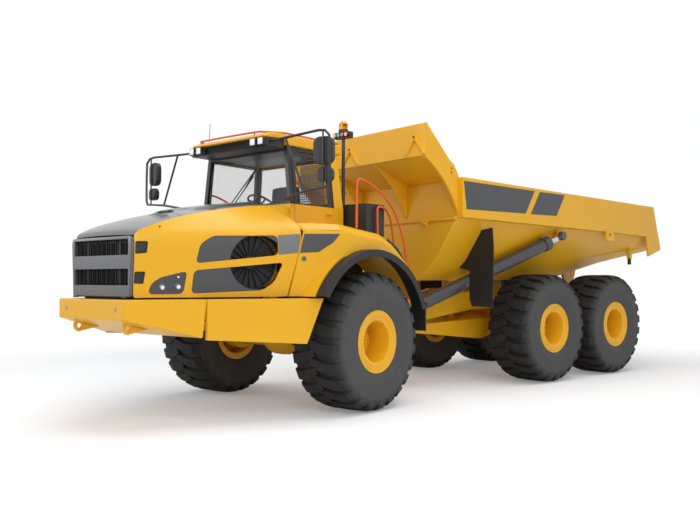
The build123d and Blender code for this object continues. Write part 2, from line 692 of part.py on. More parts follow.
with BuildPart() as roof_visor:
    block((-VISOR_X, VISOR_X), VISOR_Y, VISOR_Z)
    for lamp_x in LAMP_X:
        for _, side in SIDES:
            block(sorted((side * lamp_x - 52, side * lamp_x + 52)), (-3665, VISOR_Y[0]), (3396, 3496))
keep(roof_visor, "roof_visor", FRONT_PLACE)

# Seat, dash and steering wheel
FLOOR_TOP_Z = CAB_FLOOR_Z + CAB_WALL
with BuildPart() as cab_interior:
    block((-170, 170), (-2880, -2560), (FLOOR_TOP_Z, 2400))
    block((-250, 250), (-2960, -2500), (2400, 2500))
    block((-240, 240), (-2560, -2440), (2500, 3020))
    block((-620, 620), (-3240, -3090), (FLOOR_TOP_Z, 2600))
    bar((0, -3110, 2540), (0, -2985, 2740), 35)
    wheel_plane = Plane(origin=(0, -2985, 2740), z_dir=(0, 125, 200))
    with BuildSketch(wheel_plane):
        Circle(215)
        Circle(185, mode=Mode.SUBTRACT)
        Circle(50)
        with PolarLocations(120, 3, start_angle=90):
            Rectangle(150, 28)
    extrude(amount=24)
keep(cab_interior, "cab_interior", FRONT_PLACE)

# Mirrors: a bent tube frame and two heads on each side
MIRROR_ROUTE = [
    (VISOR_X + 2, -3560, 3450), (1640, -3600, 3475), (1750, -3600, 3425), (1775, -3600, 2800),
    (1363, -3600, 2761), (1010, -3570, 2700), (925, -3270, 2700), (858, -3270, 2700),
]
MIRROR_HEADS = [
    # x, z, width, height, corner radius
    (1700, 3225, 280, 330, 70),
    (1760, 2938, 210, 175, 50),
]
with BuildPart() as mirrors:
    tube(MIRROR_ROUTE, 35, 16)
    bar((1051, -3600, 3455), (1363, -3600, 2761), 14)
    for head_x, head_z, width, height, corner in MIRROR_HEADS:
        with BuildSketch(at_y(-3595)) as head:
            with Locations((head_x, head_z)):
                RectangleRounded(width, height, corner)
        extrude(head.sketch, amount=55)
    mirror(about=Plane.YZ)
keep(mirrors, "mirrors", FRONT_PLACE)

# Front fenders: a folded shell over each front wheel with its arch liner
FENDER_SECTIONS = [
    # y, outer x, shoulder z, deck edge x, deck z
    (-3800, 1275, 2275, 1060, 2385),
    (-3565, 1382, 2302, 1200, 2400),
    (-3060, FENDER_X, 2300, 1480, 2395),
    (-2300, FENDER_X, 2230, 1500, 2310),
    (-2056, FENDER_X, 2120, 1500, 2204),
    (-1780, FENDER_X, 1930, 1500, 2005),
    (-1560, FENDER_X, 1720, 1500, 1790),
    (-1480, FENDER_X, 1560, 1500, 1600),
]
FENDER_INNER_X = 880
FENDER_SKIN = 35


def fender_outline(skin):
    """The fender's outline across the machine, brought inwards by the skin."""
    def outline(station):
        _, outer_x, shoulder_z, deck_x, deck_z = station
        low_z = 1400 - skin
        return [
            (FENDER_INNER_X - skin, low_z), (outer_x - skin, low_z),
            (outer_x - skin, shoulder_z - skin / 2), (deck_x - skin / 2, deck_z - skin),
            (FENDER_INNER_X - skin, deck_z - skin),
        ]
    return outline


with BuildPart() as fenders:
    ruled_loft(FENDER_SECTIONS, fender_outline(0))
    ruled_loft(FENDER_SECTIONS, fender_outline(FENDER_SKIN), mode=Mode.SUBTRACT)
    with BuildSketch(at_x(FENDER_INNER_X + 20)):
        with Locations(ARCH_CENTRE):
            Circle(ARCH_RADIUS + 30)
            Circle(ARCH_RADIUS, mode=Mode.SUBTRACT)
    extrude(amount=FENDER_X - FENDER_INNER_X - 40)
    prism(at_x(500), [
        (-3763, HOOD_BOTTOM_Z), (-3581, 2306), (-3557, 2420), (-3557, 2600), (-1400, 2600),
        (-1400, 1494),
    ], 1500, mode=Mode.INTERSECT)
    bar((500, *ARCH_CENTRE), (2000, *ARCH_CENTRE), ARCH_RADIUS, mode=Mode.SUBTRACT)
    mirror(about=Plane.YZ)
keep(fenders, "fenders", FRONT_PLACE)

# Rubber flares round the arches, with the flap behind each front wheel
FLARE_X = (1480, 1715)
FLAP_Y = (-1492, -1470)
with BuildPart() as fender_flares:
    for depth_x, ring_inner in (((FLARE_X[0], FLARE_X[1]), ARCH_RADIUS - 22),
                                ((FLARE_X[1] - 22, FLARE_X[1]), ARCH_RADIUS - FLARE_WIDTH)):
        with BuildSketch(at_x(depth_x[0])):
            with Locations(ARCH_CENTRE):
                Circle(ARCH_RADIUS)
                Circle(ring_inner, mode=Mode.SUBTRACT)
        extrude(amount=depth_x[1] - depth_x[0])
    prism(at_x(1300), [
        (-3629, HOOD_BOTTOM_Z + 6), (-3900, HOOD_BOTTOM_Z + 6), (-3900, 2300), (FLAP_Y[1], 2300),
        (FLAP_Y[1], 1290), (-2590, 1290),
    ], 600, mode=Mode.INTERSECT)
    block((940, FLARE_X[1]), FLAP_Y, (990, 1320))
    block((FLARE_X[0], FLARE_X[1]), FLAP_Y, (1310, 1360))
    mirror(about=Plane.YZ)
keep(fender_flares, "fender_flares", FRONT_PLACE)

# Tank and boxes behind the cab, and the steps down the back of the left fender
STEP_X = (1290, 1445)
with BuildPart() as deck_boxes:
    block((-850, 850), (-2200, -1800), (RAIL_TOP_Z, 2300))
    block((560, 1230), (-2200, -1800), (2300, 2740))
    block((-1230, -300), (-2200, -1800), (2300, 2600))
    for stringer_x in (STEP_X[0], STEP_X[1] - 10):
        prism(at_x(stringer_x), [
            (-2056, 2204), (-1780, 2005), (-1560, 1790), (-1500, 1647.5), (-1500, 1850), (-1760, 2130),
            (-2000, 2260),
        ], 10)
    for step in range(5):
        tread_y = -1940 + 100 * step
        tread_z = 2195 - 84 * step
        block(STEP_X, (tread_y - 50, tread_y + 50), (tread_z - 12, tread_z + 12))
keep(deck_boxes, "deck_boxes", FRONT_PLACE)

# Orange rails: two hoops on the left deck, one on the right, and the rail round the roof
HOOP_RADIUS = 20
ROOF_RAIL_Z = 3586
ROOF_RAIL_ROUTE = [
    # side, x, y
    (1, 765, -2265), (1, 765, -3330), (1, 570, -3600), (-1, 570, -3600), (-1, 765, -3330), (-1, 765, -2265),
]
ROOF_POSTS = [
    # x, y, foot z
    (765, -2300, ROOF_TOP_Z), (765, -2800, ROOF_TOP_Z), (765, -3250, ROOF_TOP_Z), (500, -3600, 3552),
]
with BuildPart() as handrails:
    for hoop_x in (1470, -1470):
        tube([(hoop_x, -2716, 2361), (hoop_x, -2700, 2990), (hoop_x, -2400, 2955),
              (hoop_x, -1950, 2720), (hoop_x, -1690, 2330), (hoop_x, -1585, 1838)], 110, HOOP_RADIUS)
    tube([(1265, -1990, 2178), (1265, -2005, 2660), (1265, -1850, 2700), (1265, -1660, 2500),
          (1265, -1600, 1860)], 70, HOOP_RADIUS)
    tube([(side * x, y, ROOF_RAIL_Z) for side, x, y in ROOF_RAIL_ROUTE], 60, 15)
    for post_x, post_y, foot_z in ROOF_POSTS:
        for side in (1, -1):
            bar((side * post_x, post_y, foot_z), (side * post_x, post_y, ROOF_RAIL_Z), 10)
keep(handrails, "handrails", FRONT_PLACE)

# Beacon mast
MAST = (620, -1960)
with BuildPart() as beacon_mast:
    bar((*MAST, 2740), (*MAST, 3830), 24)
    block((MAST[0] - 145, MAST[0] + 145), (MAST[1] - 45, MAST[1] + 45), (3720, 3810))
    bar((*MAST, 3810), (*MAST, 3850), 70)
    bar((*MAST, 3850), (*MAST, 3925), 58)
    with Locations((*MAST, 3925)):
        Sphere(58)
    for lamp_step in (-1.5, -0.5, 0.5, 1.5):
        lamp_x = MAST[0] + 70 * lamp_step
        bar((lamp_x, MAST[1] - 40, 3765), (lamp_x, MAST[1] - 75, 3765), 32)
keep(beacon_mast, "beacon_mast", FRONT_PLACE)

# Rear frame: bearing block, cross box, two beams, pivot pins and the hoist cylinder seats
CROSS_Y = (-560, -330)
BEAM_BOTTOM_Z = 1200
BEAM_TOP_Z = 1550
with BuildPart() as rear_frame:
    block((-260, 260), (BEARING_FRONT_Y, BEARING_REAR_Y), (780, 1200))
    block((-BEAM_X[1], BEAM_X[1]), CROSS_Y, (780, 1300))
    bar((0, BEARING_FRONT_Y - 10, HITCH_Z), (0, BEARING_REAR_Y + 60, HITCH_Z), ROLL_SHAFT_RADIUS + 2,
        mode=Mode.SUBTRACT)
    with BuildSketch(at_x(BEAM_X[0])):
        with BuildLine():
            Polyline(
                (CROSS_Y[1] - 50, 1004), (CROSS_Y[1] - 50, 1300), (1100, 1500), (1300, BEAM_TOP_Z),
                (4200, BEAM_TOP_Z), (DUMP_PIVOT[0], DUMP_PIVOT[1] + 110),
                (DUMP_PIVOT[0], DUMP_PIVOT[1] - 110), (4050, BEAM_BOTTOM_Z), (1165, BEAM_BOTTOM_Z),
                close=True)
        make_face()
        with Locations(DUMP_PIVOT):
            Circle(110)
    extrude(amount=BEAM_X[1] - BEAM_X[0])
    bar((385, *DUMP_PIVOT), (BEAM_X[1], *DUMP_PIVOT), PIVOT_PIN_RADIUS)
    bar((BEAM_X[1] - 10, HOIST_BASE[1], HOIST_BASE[2]), (HOIST_BASE[0] - 115, HOIST_BASE[1], HOIST_BASE[2]),
        85)
    block((BEAM_X[1] - 60, BEAM_X[1]), (CROSS_Y[0], CROSS_Y[1]), (1200, 1400))
    bar((HOIST_BASE[0] - 120, HOIST_BASE[1], HOIST_BASE[2]),
        (HOIST_BASE[0] + 105, HOIST_BASE[1], HOIST_BASE[2]), 38)
    for pad_y in (700, 1700, 2700):
        block(BEAM_X, (pad_y, pad_y + 300), (1440, 1692))
    mirror(about=Plane.YZ)
    for tie_y in (1000, 2950):
        block((-BEAM_X[0], BEAM_X[0]), (tie_y - 60, tie_y + 60), (1260, 1460))
keep(rear_frame, "rear_frame", REAR_PLACE)

# Rear axles, carried at the ends of two bogie beams that hang on one cross shaft
POST_X = BEAM_X
BOGIE_X = (600, 680)
BOGIE_PIVOT = ((MID_AXLE_Y + REAR_AXLE_Y) / 2, 1075)
with BuildPart() as rear_axles:
    add(axle(MID_AXLE_Y, BEAM_BOTTOM_Z, POST_X).part)
    add(axle(REAR_AXLE_Y, BEAM_BOTTOM_Z, POST_X).part)
    for _, side in SIDES:
        prism(at_x(min(side * BOGIE_X[0], side * BOGIE_X[1])), [
            (MID_AXLE_Y - 170, 880), (MID_AXLE_Y - 170, 1010), (MID_AXLE_Y - 60, 1075),
            (BOGIE_PIVOT[0] - 260, 1165), (BOGIE_PIVOT[0] + 260, 1165), (REAR_AXLE_Y + 60, 1075),
            (REAR_AXLE_Y + 170, 1010), (REAR_AXLE_Y + 170, 880), (REAR_AXLE_Y - 160, 880),
            (BOGIE_PIVOT[0] + 300, 985), (BOGIE_PIVOT[0] - 300, 985), (MID_AXLE_Y + 160, 880),
        ], BOGIE_X[1] - BOGIE_X[0])
        bar((side * (BEAM_X[0] + 20), *BOGIE_PIVOT), (side * (BOGIE_X[1] + 25), *BOGIE_PIVOT), 70)
    block((-BEAM_X[1], BEAM_X[1]), (BOGIE_PIVOT[0] - 75, BOGIE_PIVOT[0] + 75),
          (BOGIE_PIVOT[1] - 75, BOGIE_PIVOT[1] + 75))
keep(rear_axles, "rear_axles", REAR_PLACE)

with BuildPart() as axle_stays:
    prism(at_x(470), [
        (CROSS_Y[1], 870), (CROSS_Y[1], 985), (1300, 1035), (1560, 1030), (1780, 960),
        (MID_AXLE_Y - AXLE_TUBE_RADIUS - 1, 930), (MID_AXLE_Y - AXLE_TUBE_RADIUS - 1, 870), (1540, 765),
        (1234, 712),
    ], 90)
    mirror(about=Plane.YZ)
keep(axle_stays, "axle_stays", REAR_PLACE)

# Dump body
BODY_SECTIONS = [
    # y, floor z, floor x, knee x, knee z, rail bottom z, top z
    (-350, 1690, 760, 1130, 2010, 2620, 3212),
    (3000, 1700, 800, 1150, 2030, 2585, 3165),
    (4400, 2040, 1050, 1260, 2190, 2560, 3145),
    (TAIL_END_Y, 2300, 1420, 1500, 2390, 2535, 3125),
]
BODY_INNER_SECTIONS = [
    (-308, *BODY_SECTIONS[0][1:]), BODY_SECTIONS[1], BODY_SECTIONS[2],
    (TAIL_END_Y + 80, *BODY_SECTIONS[3][1:]),
]
RAIL_INNER = 1555
WALL = 40


def body_outline(station):
    """The outside of the dump body at one station, with its box rails."""
    _, floor_z, floor_x, knee_x, knee_z, rail_z, top_z = station
    return both_sides([
        (floor_x, floor_z), (knee_x, knee_z), (RAIL_INNER, rail_z), (RAIL_X, rail_z), (RAIL_X, top_z),
    ])


def body_inside(station):
    """The inside of the dump body at one station."""
    _, floor_z, floor_x, knee_x, knee_z, rail_z, top_z = station
    return both_sides([
        (floor_x - 12, floor_z + WALL), (knee_x - 40, knee_z + 20), (RAIL_INNER - 40, rail_z + 20),
        (RAIL_X - 60, top_z + 60),
    ])


PIVOT_BRACKET_X = (390, 440)
BODY_LUGS = [
    # x, thickness, (y, z) outline, eye's centre and radius: the front lifting eyes, the side lugs
    (960, 40, [(-391, 2640), (-391, 2500), (-440, 2545), (-470, 2600), (-440, 2640)], (-440, 2592), 22),
    (1640, 54, [(3600, 2640), (3850, 2640), (3850, 2425), (3800, 2412), (3650, 2412), (3600, 2425)],
     (3725, 2520), 38),
]
with BuildPart() as dump_body:
    ruled_loft(BODY_SECTIONS, body_outline)
    ruled_loft(BODY_INNER_SECTIONS, body_inside, mode=Mode.SUBTRACT)
    prism(at_x(-2000), [(5330, 3400), (5358, 3125), (TAIL_END_Y, 2300), (TAIL_END_Y, 2100),
                        (5900, 2100), (5900, 3400)], 4000, mode=Mode.SUBTRACT)
    block((-1560, 1560), (-392, -340), (2590, 2640))
    for _, side in SIDES:
        with BuildSketch(at_x(min(side * PIVOT_BRACKET_X[0], side * PIVOT_BRACKET_X[1]))):
            with BuildLine():
                Polyline(
                    (4050, 2000), (4650, 2130), (DUMP_PIVOT[0] + 95, DUMP_PIVOT[1]),
                    (DUMP_PIVOT[0] - 95, DUMP_PIVOT[1]), close=True)
            make_face()
            with Locations(DUMP_PIVOT):
                Circle(95)
                Circle(PIVOT_PIN_RADIUS + 2, mode=Mode.SUBTRACT)
        extrude(amount=PIVOT_BRACKET_X[1] - PIVOT_BRACKET_X[0])
        bar((side * 1435, *HOIST_EYE[1:]), (side * 1560, *HOIST_EYE[1:]), 48)
        bar((side * 1550, *HOIST_EYE[1:]), (side * (HOIST_EYE[0] - 50), *HOIST_EYE[1:]), 30)
        prism(at_x(min(side * 1530, side * 1555)), [
            (HOIST_EYE[1] - 80, 2610), (HOIST_EYE[1] + 110, 2610), (HOIST_EYE[1] + 45, 2430),
            (HOIST_EYE[1] - 45, 2430),
        ], 25)
        for lug_x, thickness, lug_outline, eye, eye_radius in BODY_LUGS:
            with BuildSketch(at_x(min(side * lug_x, side * (lug_x + thickness)))) as lug:
                with BuildLine():
                    Polyline(*lug_outline, close=True)
                make_face()
                with Locations(eye):
                    Circle(eye_radius + 24)
                    Circle(eye_radius, mode=Mode.SUBTRACT)
            extrude(lug.sketch, amount=thickness)
        block(sorted((side * 1372, side * 1440)), (4870, 4960), (2120, 2300))
        tail_x = sorted((side * (RAIL_X - 40), side * RAIL_X))
        prism(at_x(tail_x[0]), [
            (5080, 2560), (5560, 2550), (TAIL_END_Y, 2300), (5150, 2160),
        ], 40)
keep(dump_body, "dump_body", REAR_PLACE)

# Spill guard over the front wall, on curved gussets
GUARD_X = 1600
BRACE_X = (-1400, 0, 1400)
with BuildPart() as spill_guard:
    prism(at_x(-GUARD_X), [(-352, 3170), (-1070, 3461), (-1070, 3510), (-352, 3218)], 2 * GUARD_X)
    prism(at_x(-GUARD_X), [
        (-1088, 3461), (-1058, 3715), (-1060, 3934), (-1020, 3934), (-1018, 3715), (-1045, 3470),
    ], 2 * GUARD_X)
    for brace_x in BRACE_X:
        for lean in (-1, 1):
            prism(at_y(-1050), [
                (brace_x, 3790), (brace_x + lean * 36, 3730), (brace_x + lean * 215, 3490),
                (brace_x + lean * 150, 3490), (brace_x, 3710),
            ], 48)
    for plate_x in (-GUARD_X, GUARD_X - 40):
        prism(at_x(plate_x), [
            (-1044, 3934), (-543, 3449), (-459, 3402), (-352, 3240), (-352, 3190), (-1070, 3480),
        ], 40)
    for rib_x in (-GUARD_X, -540, 500, GUARD_X - 40):
        with BuildSketch(at_x(rib_x)):
            with BuildLine():
                Polyline((-352, 2645), (-352, 3190), (-1062, 3468), (-1062, 3440))
                ThreePointArc((-1062, 3440), (-636, 3106), (-352, 2645))
            make_face()
        extrude(amount=40)
keep(spill_guard, "spill_guard", REAR_PLACE)

# Flaps ahead of the mid wheels, and the rubber stubs under the tail brackets
with BuildPart() as mudflaps:
    prism(at_y(362), [
        (1000, 1890), (1136, 2008), (1462, 2473), (1665, 2500), (1690, 2200), (1665, 1285), (1255, 1285),
        (1215, 1395), (1215, 1850),
    ], 12)
    bar((1406, 4915, 2119), (1406, 4915, 2005), 34)
    mirror(about=Plane.YZ)
keep(mudflaps, "mudflaps", REAR_PLACE)

# Hoist cylinders
HOIST_BARREL_LENGTH = 2740
HOIST_ROD_LENGTH = 2860
for side_name, side in SIDES:
    base = Vector(side * HOIST_BASE[0], HOIST_BASE[1], HOIST_BASE[2])
    eye = Vector(side * HOIST_EYE[0], HOIST_EYE[1], HOIST_EYE[2])
    along = (eye - base).normalized()
    with BuildPart() as hoist_barrel:
        with Locations(tuple(base)):
            Sphere(HOIST_BARREL_RADIUS)
        bar(tuple(base), tuple(base + along * HOIST_BARREL_LENGTH), HOIST_BARREL_RADIUS)
        bar(tuple(base + along * (HOIST_BARREL_LENGTH - 130)),
            tuple(base + along * (HOIST_BARREL_LENGTH - 20)), HOIST_GLAND_RADIUS)
        bar(tuple(base + along * 170), tuple(base + along * (HOIST_BARREL_LENGTH + 1)),
            HOIST_ROD_RADIUS + 2, mode=Mode.SUBTRACT)
        bar((base.X - 150, base.Y, base.Z), (base.X + 150, base.Y, base.Z), 58, mode=Mode.SUBTRACT)
    keep(hoist_barrel, f"hoist_barrel_{side_name}", REAR_PLACE)
    with BuildPart() as hoist_rod:
        bar((eye.X - 35, eye.Y, eye.Z), (eye.X + 35, eye.Y, eye.Z), HOIST_EYE_RADIUS)
        bar(tuple(eye), tuple(eye - along * 160), 34)
        bar(tuple(eye - along * 150), tuple(eye - along * HOIST_ROD_LENGTH), HOIST_ROD_RADIUS)
    keep(hoist_rod, f"hoist_rod_{side_name}", REAR_PLACE)
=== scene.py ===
import bmesh
import bpy
from bmesh import ops
from math import cos, pi, radians, sin, sqrt
from mathutils import Matrix, Vector


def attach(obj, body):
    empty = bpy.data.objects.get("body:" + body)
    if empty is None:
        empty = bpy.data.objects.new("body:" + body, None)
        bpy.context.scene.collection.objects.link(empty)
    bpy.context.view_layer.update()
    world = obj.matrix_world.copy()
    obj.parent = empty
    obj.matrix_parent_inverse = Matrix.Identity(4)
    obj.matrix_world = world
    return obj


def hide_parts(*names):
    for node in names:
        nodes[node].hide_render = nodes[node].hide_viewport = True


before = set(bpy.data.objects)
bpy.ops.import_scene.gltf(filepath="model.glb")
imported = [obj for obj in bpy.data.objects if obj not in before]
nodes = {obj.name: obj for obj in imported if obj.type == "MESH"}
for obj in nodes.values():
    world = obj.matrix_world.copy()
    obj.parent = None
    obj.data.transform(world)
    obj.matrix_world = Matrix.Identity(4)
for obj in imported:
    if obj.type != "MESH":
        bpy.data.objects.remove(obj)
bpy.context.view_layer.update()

# Places: pieces of the front unit are drawn straight ahead and then turned at the hitch
FRONT_TURN = radians(9.35)
HITCH_Y = -1.2525
REAR = Matrix.Translation((-0.258, 0.023, 0))
FRONT = (REAR @ Matrix.Translation((0, HITCH_Y, 0)) @ Matrix.Rotation(FRONT_TURN, 4, "Z")
         @ Matrix.Translation((0, -HITCH_Y, 0)))
# The body that carries the cab, the fenders and the bumper
CAB = "front_unit"
FRONT_BODIES = (CAB, "hood", "cab_door", "wheel_front_left", "wheel_front_right")
SIDES = (1, -1)


def added(name, data):
    """A new object with its data, put into the scene."""
    made = bpy.data.objects.new(name, data)
    bpy.context.scene.collection.objects.link(made)
    return made


# Materials
def linear(hex_colour):
    """A six-figure sRGB colour as linear RGBA."""
    parts = [int(hex_colour[i:i + 2], 16) / 255 for i in (1, 3, 5)]
    return [c / 12.92 if c <= 0.04045 else ((c + 0.055) / 1.055) ** 2.4 for c in parts] + [1]


def emptied(owner):
    """A material's or the world's node tree with nothing in it."""
    owner.use_nodes = True
    owner.node_tree.nodes.clear()
    return owner.node_tree


def add_node(tree, kind, settings=None, links=None):
    """Add one node, set its sockets or properties by name, and link its inputs."""
    node = tree.nodes.new(f"ShaderNode{kind}")
    for key, value in (settings or {}).items():
        if isinstance(key, int) or key in node.inputs:
            node.inputs[key].default_value = value
        else:
            setattr(node, key, value)
    for key, source in (links or {}).items():
        tree.links.new(source, node.inputs[key])
    return node


GLOSS_SPREAD = 0.12
COAT_ROUGHNESS = 0.08
RELIEF_SHARE = 0.4
NOISE_MIDDLE = {"From Min": 0.3, "From Max": 0.7}


def finish_of(name, colour, second, roughness, grain_m, bump, metallic=0.0, coat=0.0, patch_m=0.8,
              wear=0.5, extra=None):
    """A finish: two close colours in soft patches, a fine grain in its gloss and its relief."""
    material = bpy.data.materials.new(name)
    tree = emptied(material)
    at = {"Vector": add_node(tree, "TexCoord").outputs["Object"]}
    patches = add_node(tree, "TexNoise", {"Scale": 1 / patch_m, "Detail": 3.0}, at)
    grain = add_node(tree, "TexNoise", {"Scale": 1 / grain_m, "Detail": 2.0}, at)
    colours = add_node(tree, "Mix", {
        "data_type": "RGBA", 6: linear(colour), 7: linear(second),
    }, {"Factor": patches.outputs["Fac"]})
    spread = GLOSS_SPREAD * wear
    gloss = add_node(tree, "MapRange", {
        **NOISE_MIDDLE, "To Min": roughness - spread, "To Max": roughness + spread,
    }, {"Value": grain.outputs["Fac"]})
    relief = add_node(tree, "Bump", {
        "Strength": bump, "Distance": grain_m * RELIEF_SHARE,
    }, {"Height": grain.outputs["Fac"]})
    shader = add_node(tree, "BsdfPrincipled", {
        "Metallic": metallic, "Coat Weight": coat, "Coat Roughness": COAT_ROUGHNESS, **(extra or {}),
    }, {
        "Base Color": colours.outputs[2], "Roughness": gloss.outputs["Result"],
        "Normal": relief.outputs["Normal"],
    })
    add_node(tree, "OutputMaterial", {}, {"Surface": shader.outputs["BSDF"]})
    return material


# Two-coat machine paint, sprayed: deep warm yellow with a clear soft gloss and faint orange peel
YELLOW = finish_of("polyurethane_machine_paint", "#EBB11B", "#E7AB17", 0.40, 0.006, 0.03, coat=0.12,
                   extra={"Specular IOR Level": 0.35})
# Satin paint on pressed steel: a mid grey whose gloss is broad and calm
DARK_GREY = finish_of("satin_grey_paint", "#56575A", "#505154", 0.30, 0.005, 0.03, coat=0.4)
# Cast vinyl film, laid on the paint: dull dark grey, even, with almost no relief
PANEL_GREY = finish_of("dark_vinyl_film", "#48494C", "#444548", 0.5, 0.004, 0.02)
# The lighter film on the hood: the same sheet in a paler grey
PALE_GREY = finish_of("pale_vinyl_film", "#747578", "#6F7073", 0.45, 0.004, 0.02)
# Baked enamel on drawn tube: dark grey with a narrow highlight along the barrel
CYLINDER = finish_of("cylinder_enamel", "#46474A", "#404144", 0.36, 0.006, 0.04, coat=0.15)
# Ground and plated rod: a bright, nearly sharp reflection
CHROME = finish_of("hard_chrome", "#C9CBCD", "#C2C4C6", 0.14, 0.01, 0.02, metallic=1.0, wear=0.3)
# Moulded ABS with a spark-eroded grain: near black, soft sheen, fine leathery relief
BLACK_PLASTIC = finish_of("moulded_abs", "#1F1F21", "#1A1A1C", 0.48, 0.003, 0.12)
# Powder coat on tube and sheet: black with a slightly pebbled gloss. The same black is also painted
# shade on the faces inside the cab
BLACK_PAINT_AND_CAB_SHADE = finish_of("black_powder_coat_and_cab_shade", "#1B1B1D", "#171719", 0.4, 0.004, 0.1)
# Stove enamel over fins and cores: dull black that hides their depth
CORE_BLACK = finish_of("stove_black", "#0D0D0E", "#0A0A0B", 0.6, 0.004, 0.05)
# Extruded EPDM: matt charcoal that never shines
FLARE = finish_of("epdm_rubber", "#191A1B", "#151516", 0.6, 0.006, 0.12)
# Powder coat in signal orange: bright and even, for what hands reach for
ORANGE = finish_of("orange_powder_coat", "#DB5A12", "#D1540F", 0.42, 0.004, 0.06)
# Painted grey iron, as cast: rough, uneven grey
IRON = finish_of("cast_iron_paint", "#4C4D50", "#424346", 0.6, 0.01, 0.3)
# Coated seat fabric: dark, soft, with a fine stitched grain
VINYL = finish_of("seat_vinyl", "#2E3033", "#27292B", 0.6, 0.004, 0.2)
# Tempered float glass with a light grey tint: clear, with a sharp weak reflection
GLASS = finish_of("tinted_glass", "#2E3838", "#2C3636", 0.03, 0.5, 0.0, wear=0.0, extra={"Alpha": 0.11})
# Clear polycarbonate over a white lamp: milky white with a hard gloss
LENS = finish_of("polycarbonate_lens", "#F2F4F6", "#E9ECEF", 0.12, 0.02, 0.05, coat=0.5)
# Smoked polycarbonate: nearly black, with the sharp gloss of a moulded lens
SMOKED = finish_of("smoked_polycarbonate", "#2D2E30", "#29292B", 0.08, 0.05, 0.01, coat=0.8, wear=0.2)
# Dyed acrylic lenses: clean saturated colour, glossy
AMBER = finish_of("amber_acrylic", "#F39A1B", "#EE8F12", 0.15, 0.02, 0.05, coat=0.5)
GREEN = finish_of("green_acrylic", "#1C9A86", "#188D7A", 0.15, 0.02, 0.05, coat=0.5)
RED = finish_of("red_acrylic", "#C6283C", "#BA2136", 0.15, 0.02, 0.05, coat=0.5)
# Zinc-plated steel fasteners: small dull silver glints
ZINC = finish_of("zinc_plate", "#A9ABAD", "#9C9EA0", 0.3, 0.004, 0.1, metallic=0.9)

SIDEWALL_COLOUR = "#464646"
TREAD_COLOUR = "#141414"
DUST_M = 0.12
DUST_SPREAD = 0.12


def cured_rubber():
    """Vulcanised tyre rubber: dusty lighter sidewalls that darken towards the working tread."""
    material = finish_of("cured_tyre_rubber", "#3B3C3E", "#313234", 0.78, 0.010, 0.2, patch_m=0.4)
    tree = material.node_tree
    shader = next(n for n in tree.nodes if n.type == "BSDF_PRINCIPLED")
    crown = add_node(tree, "Attribute", {"attribute_name": "crown"})
    place = add_node(tree, "TexCoord").outputs["Object"]
    dust = add_node(tree, "TexNoise", {"Scale": 1 / DUST_M, "Detail": 4.0}, {"Vector": place})
    spread = add_node(tree, "MapRange", {
        **NOISE_MIDDLE, "To Min": -DUST_SPREAD, "To Max": DUST_SPREAD,
    }, {"Value": dust.outputs["Fac"]})
    share = add_node(tree, "Math", {
        "operation": "ADD", "use_clamp": True,
    }, {0: crown.outputs["Fac"], 1: spread.outputs["Result"]})
    colour = add_node(tree, "Mix", {
        "data_type": "RGBA", 6: linear(SIDEWALL_COLOUR), 7: linear(TREAD_COLOUR),
    }, {"Factor": share.outputs[0]})
    tree.links.new(colour.outputs[2], shader.inputs["Base Color"])
    return material


TYRE = cured_rubber()

# Mesh tools, with the distances in metres at which points are taken as one
WELD = 0.00002
CAD_WELD = 0.0003
CUT_SNAP = 0.00005


def all_of(bm):
    """Every vertex, edge and face of a mesh."""
    return bm.verts[:] + bm.edges[:] + bm.faces[:]


def place_of(body):
    """Where a body's pieces are set from the place they are drawn in."""
    return FRONT if body in FRONT_BODIES else REAR


def finished(name, bm, materials, body, replaces=(), crease=30):
    """Weld a mesh, set it in its parked place and make it a piece that rides on a body."""
    ops.remove_doubles(bm, verts=bm.verts, dist=WELD)
    ops.recalc_face_normals(bm, faces=bm.faces)
    ops.transform(bm, matrix=place_of(body), verts=bm.verts)
    mesh = bpy.data.meshes.new(name)
    bm.to_mesh(mesh)
    bm.free()
    for material in materials if isinstance(materials, list) else [materials]:
        mesh.materials.append(material)
    mesh.shade_smooth()
    mesh.set_sharp_from_angle(angle=radians(crease))
    piece = added(name, mesh)
    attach(piece, body)
    if replaces:
        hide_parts(*replaces)
    return piece


def bevelled(bm, geom, width, segments, affect="EDGES", clamp=False):
    """Bevel edges or corners to a round profile."""
    return ops.bevel(bm, geom=geom, offset=width, segments=segments, profile=0.5, affect=affect,
                     material=-1, clamp_overlap=clamp)


def rounded(bm, width, segments=2, angle=35, edges=None):
    """Round the edges that are sharper than an angle."""
    sharp = [edge for edge in (bm.edges if edges is None else edges)
             if edge.is_manifold and edge.calc_face_angle(0) > radians(angle)]
    bevelled(bm, sharp, width, segments)


def verts_in(geom):
    """The vertices among what an operator returned."""
    return [item for item in geom if isinstance(item, bmesh.types.BMVert)]


FLAT_ANGLE = 2
BROAD_WIDTH = 0.050
BROAD_ANGLE = 12


def dressed(node, materials, body, width, cuts=(), paint=None, broad=None):
    """A CAD node's own form with its edges rounded as pressed plate is, painted by region."""
    bm = bmesh.new()
    bm.from_mesh(nodes[node].data)
    ops.transform(bm, matrix=place_of(body).inverted(), verts=bm.verts)
    ops.remove_doubles(bm, verts=bm.verts, dist=CAD_WELD)
    ops.dissolve_limit(bm, angle_limit=radians(FLAT_ANGLE), verts=bm.verts, edges=bm.edges)
    if cuts or broad:
        ops.triangulate(bm, faces=[face for face in bm.faces if len(face.verts) > 4])
    if broad:
        rounded(bm, BROAD_WIDTH, 4, BROAD_ANGLE, [edge for edge in bm.edges if broad(edge)])
    rounded(bm, width)
    for point, normal in cuts:
        ops.bisect_plane(bm, geom=all_of(bm), plane_co=point, plane_no=normal, dist=CUT_SNAP)
    if paint:
        for face in bm.faces:
            face.material_index = paint(face)
    plate = finished(f"{node}_plate", bm, materials, body, [node])
    flat = plate.modifiers.new("flat_faces", "WEIGHTED_NORMAL")
    flat.keep_sharp = True


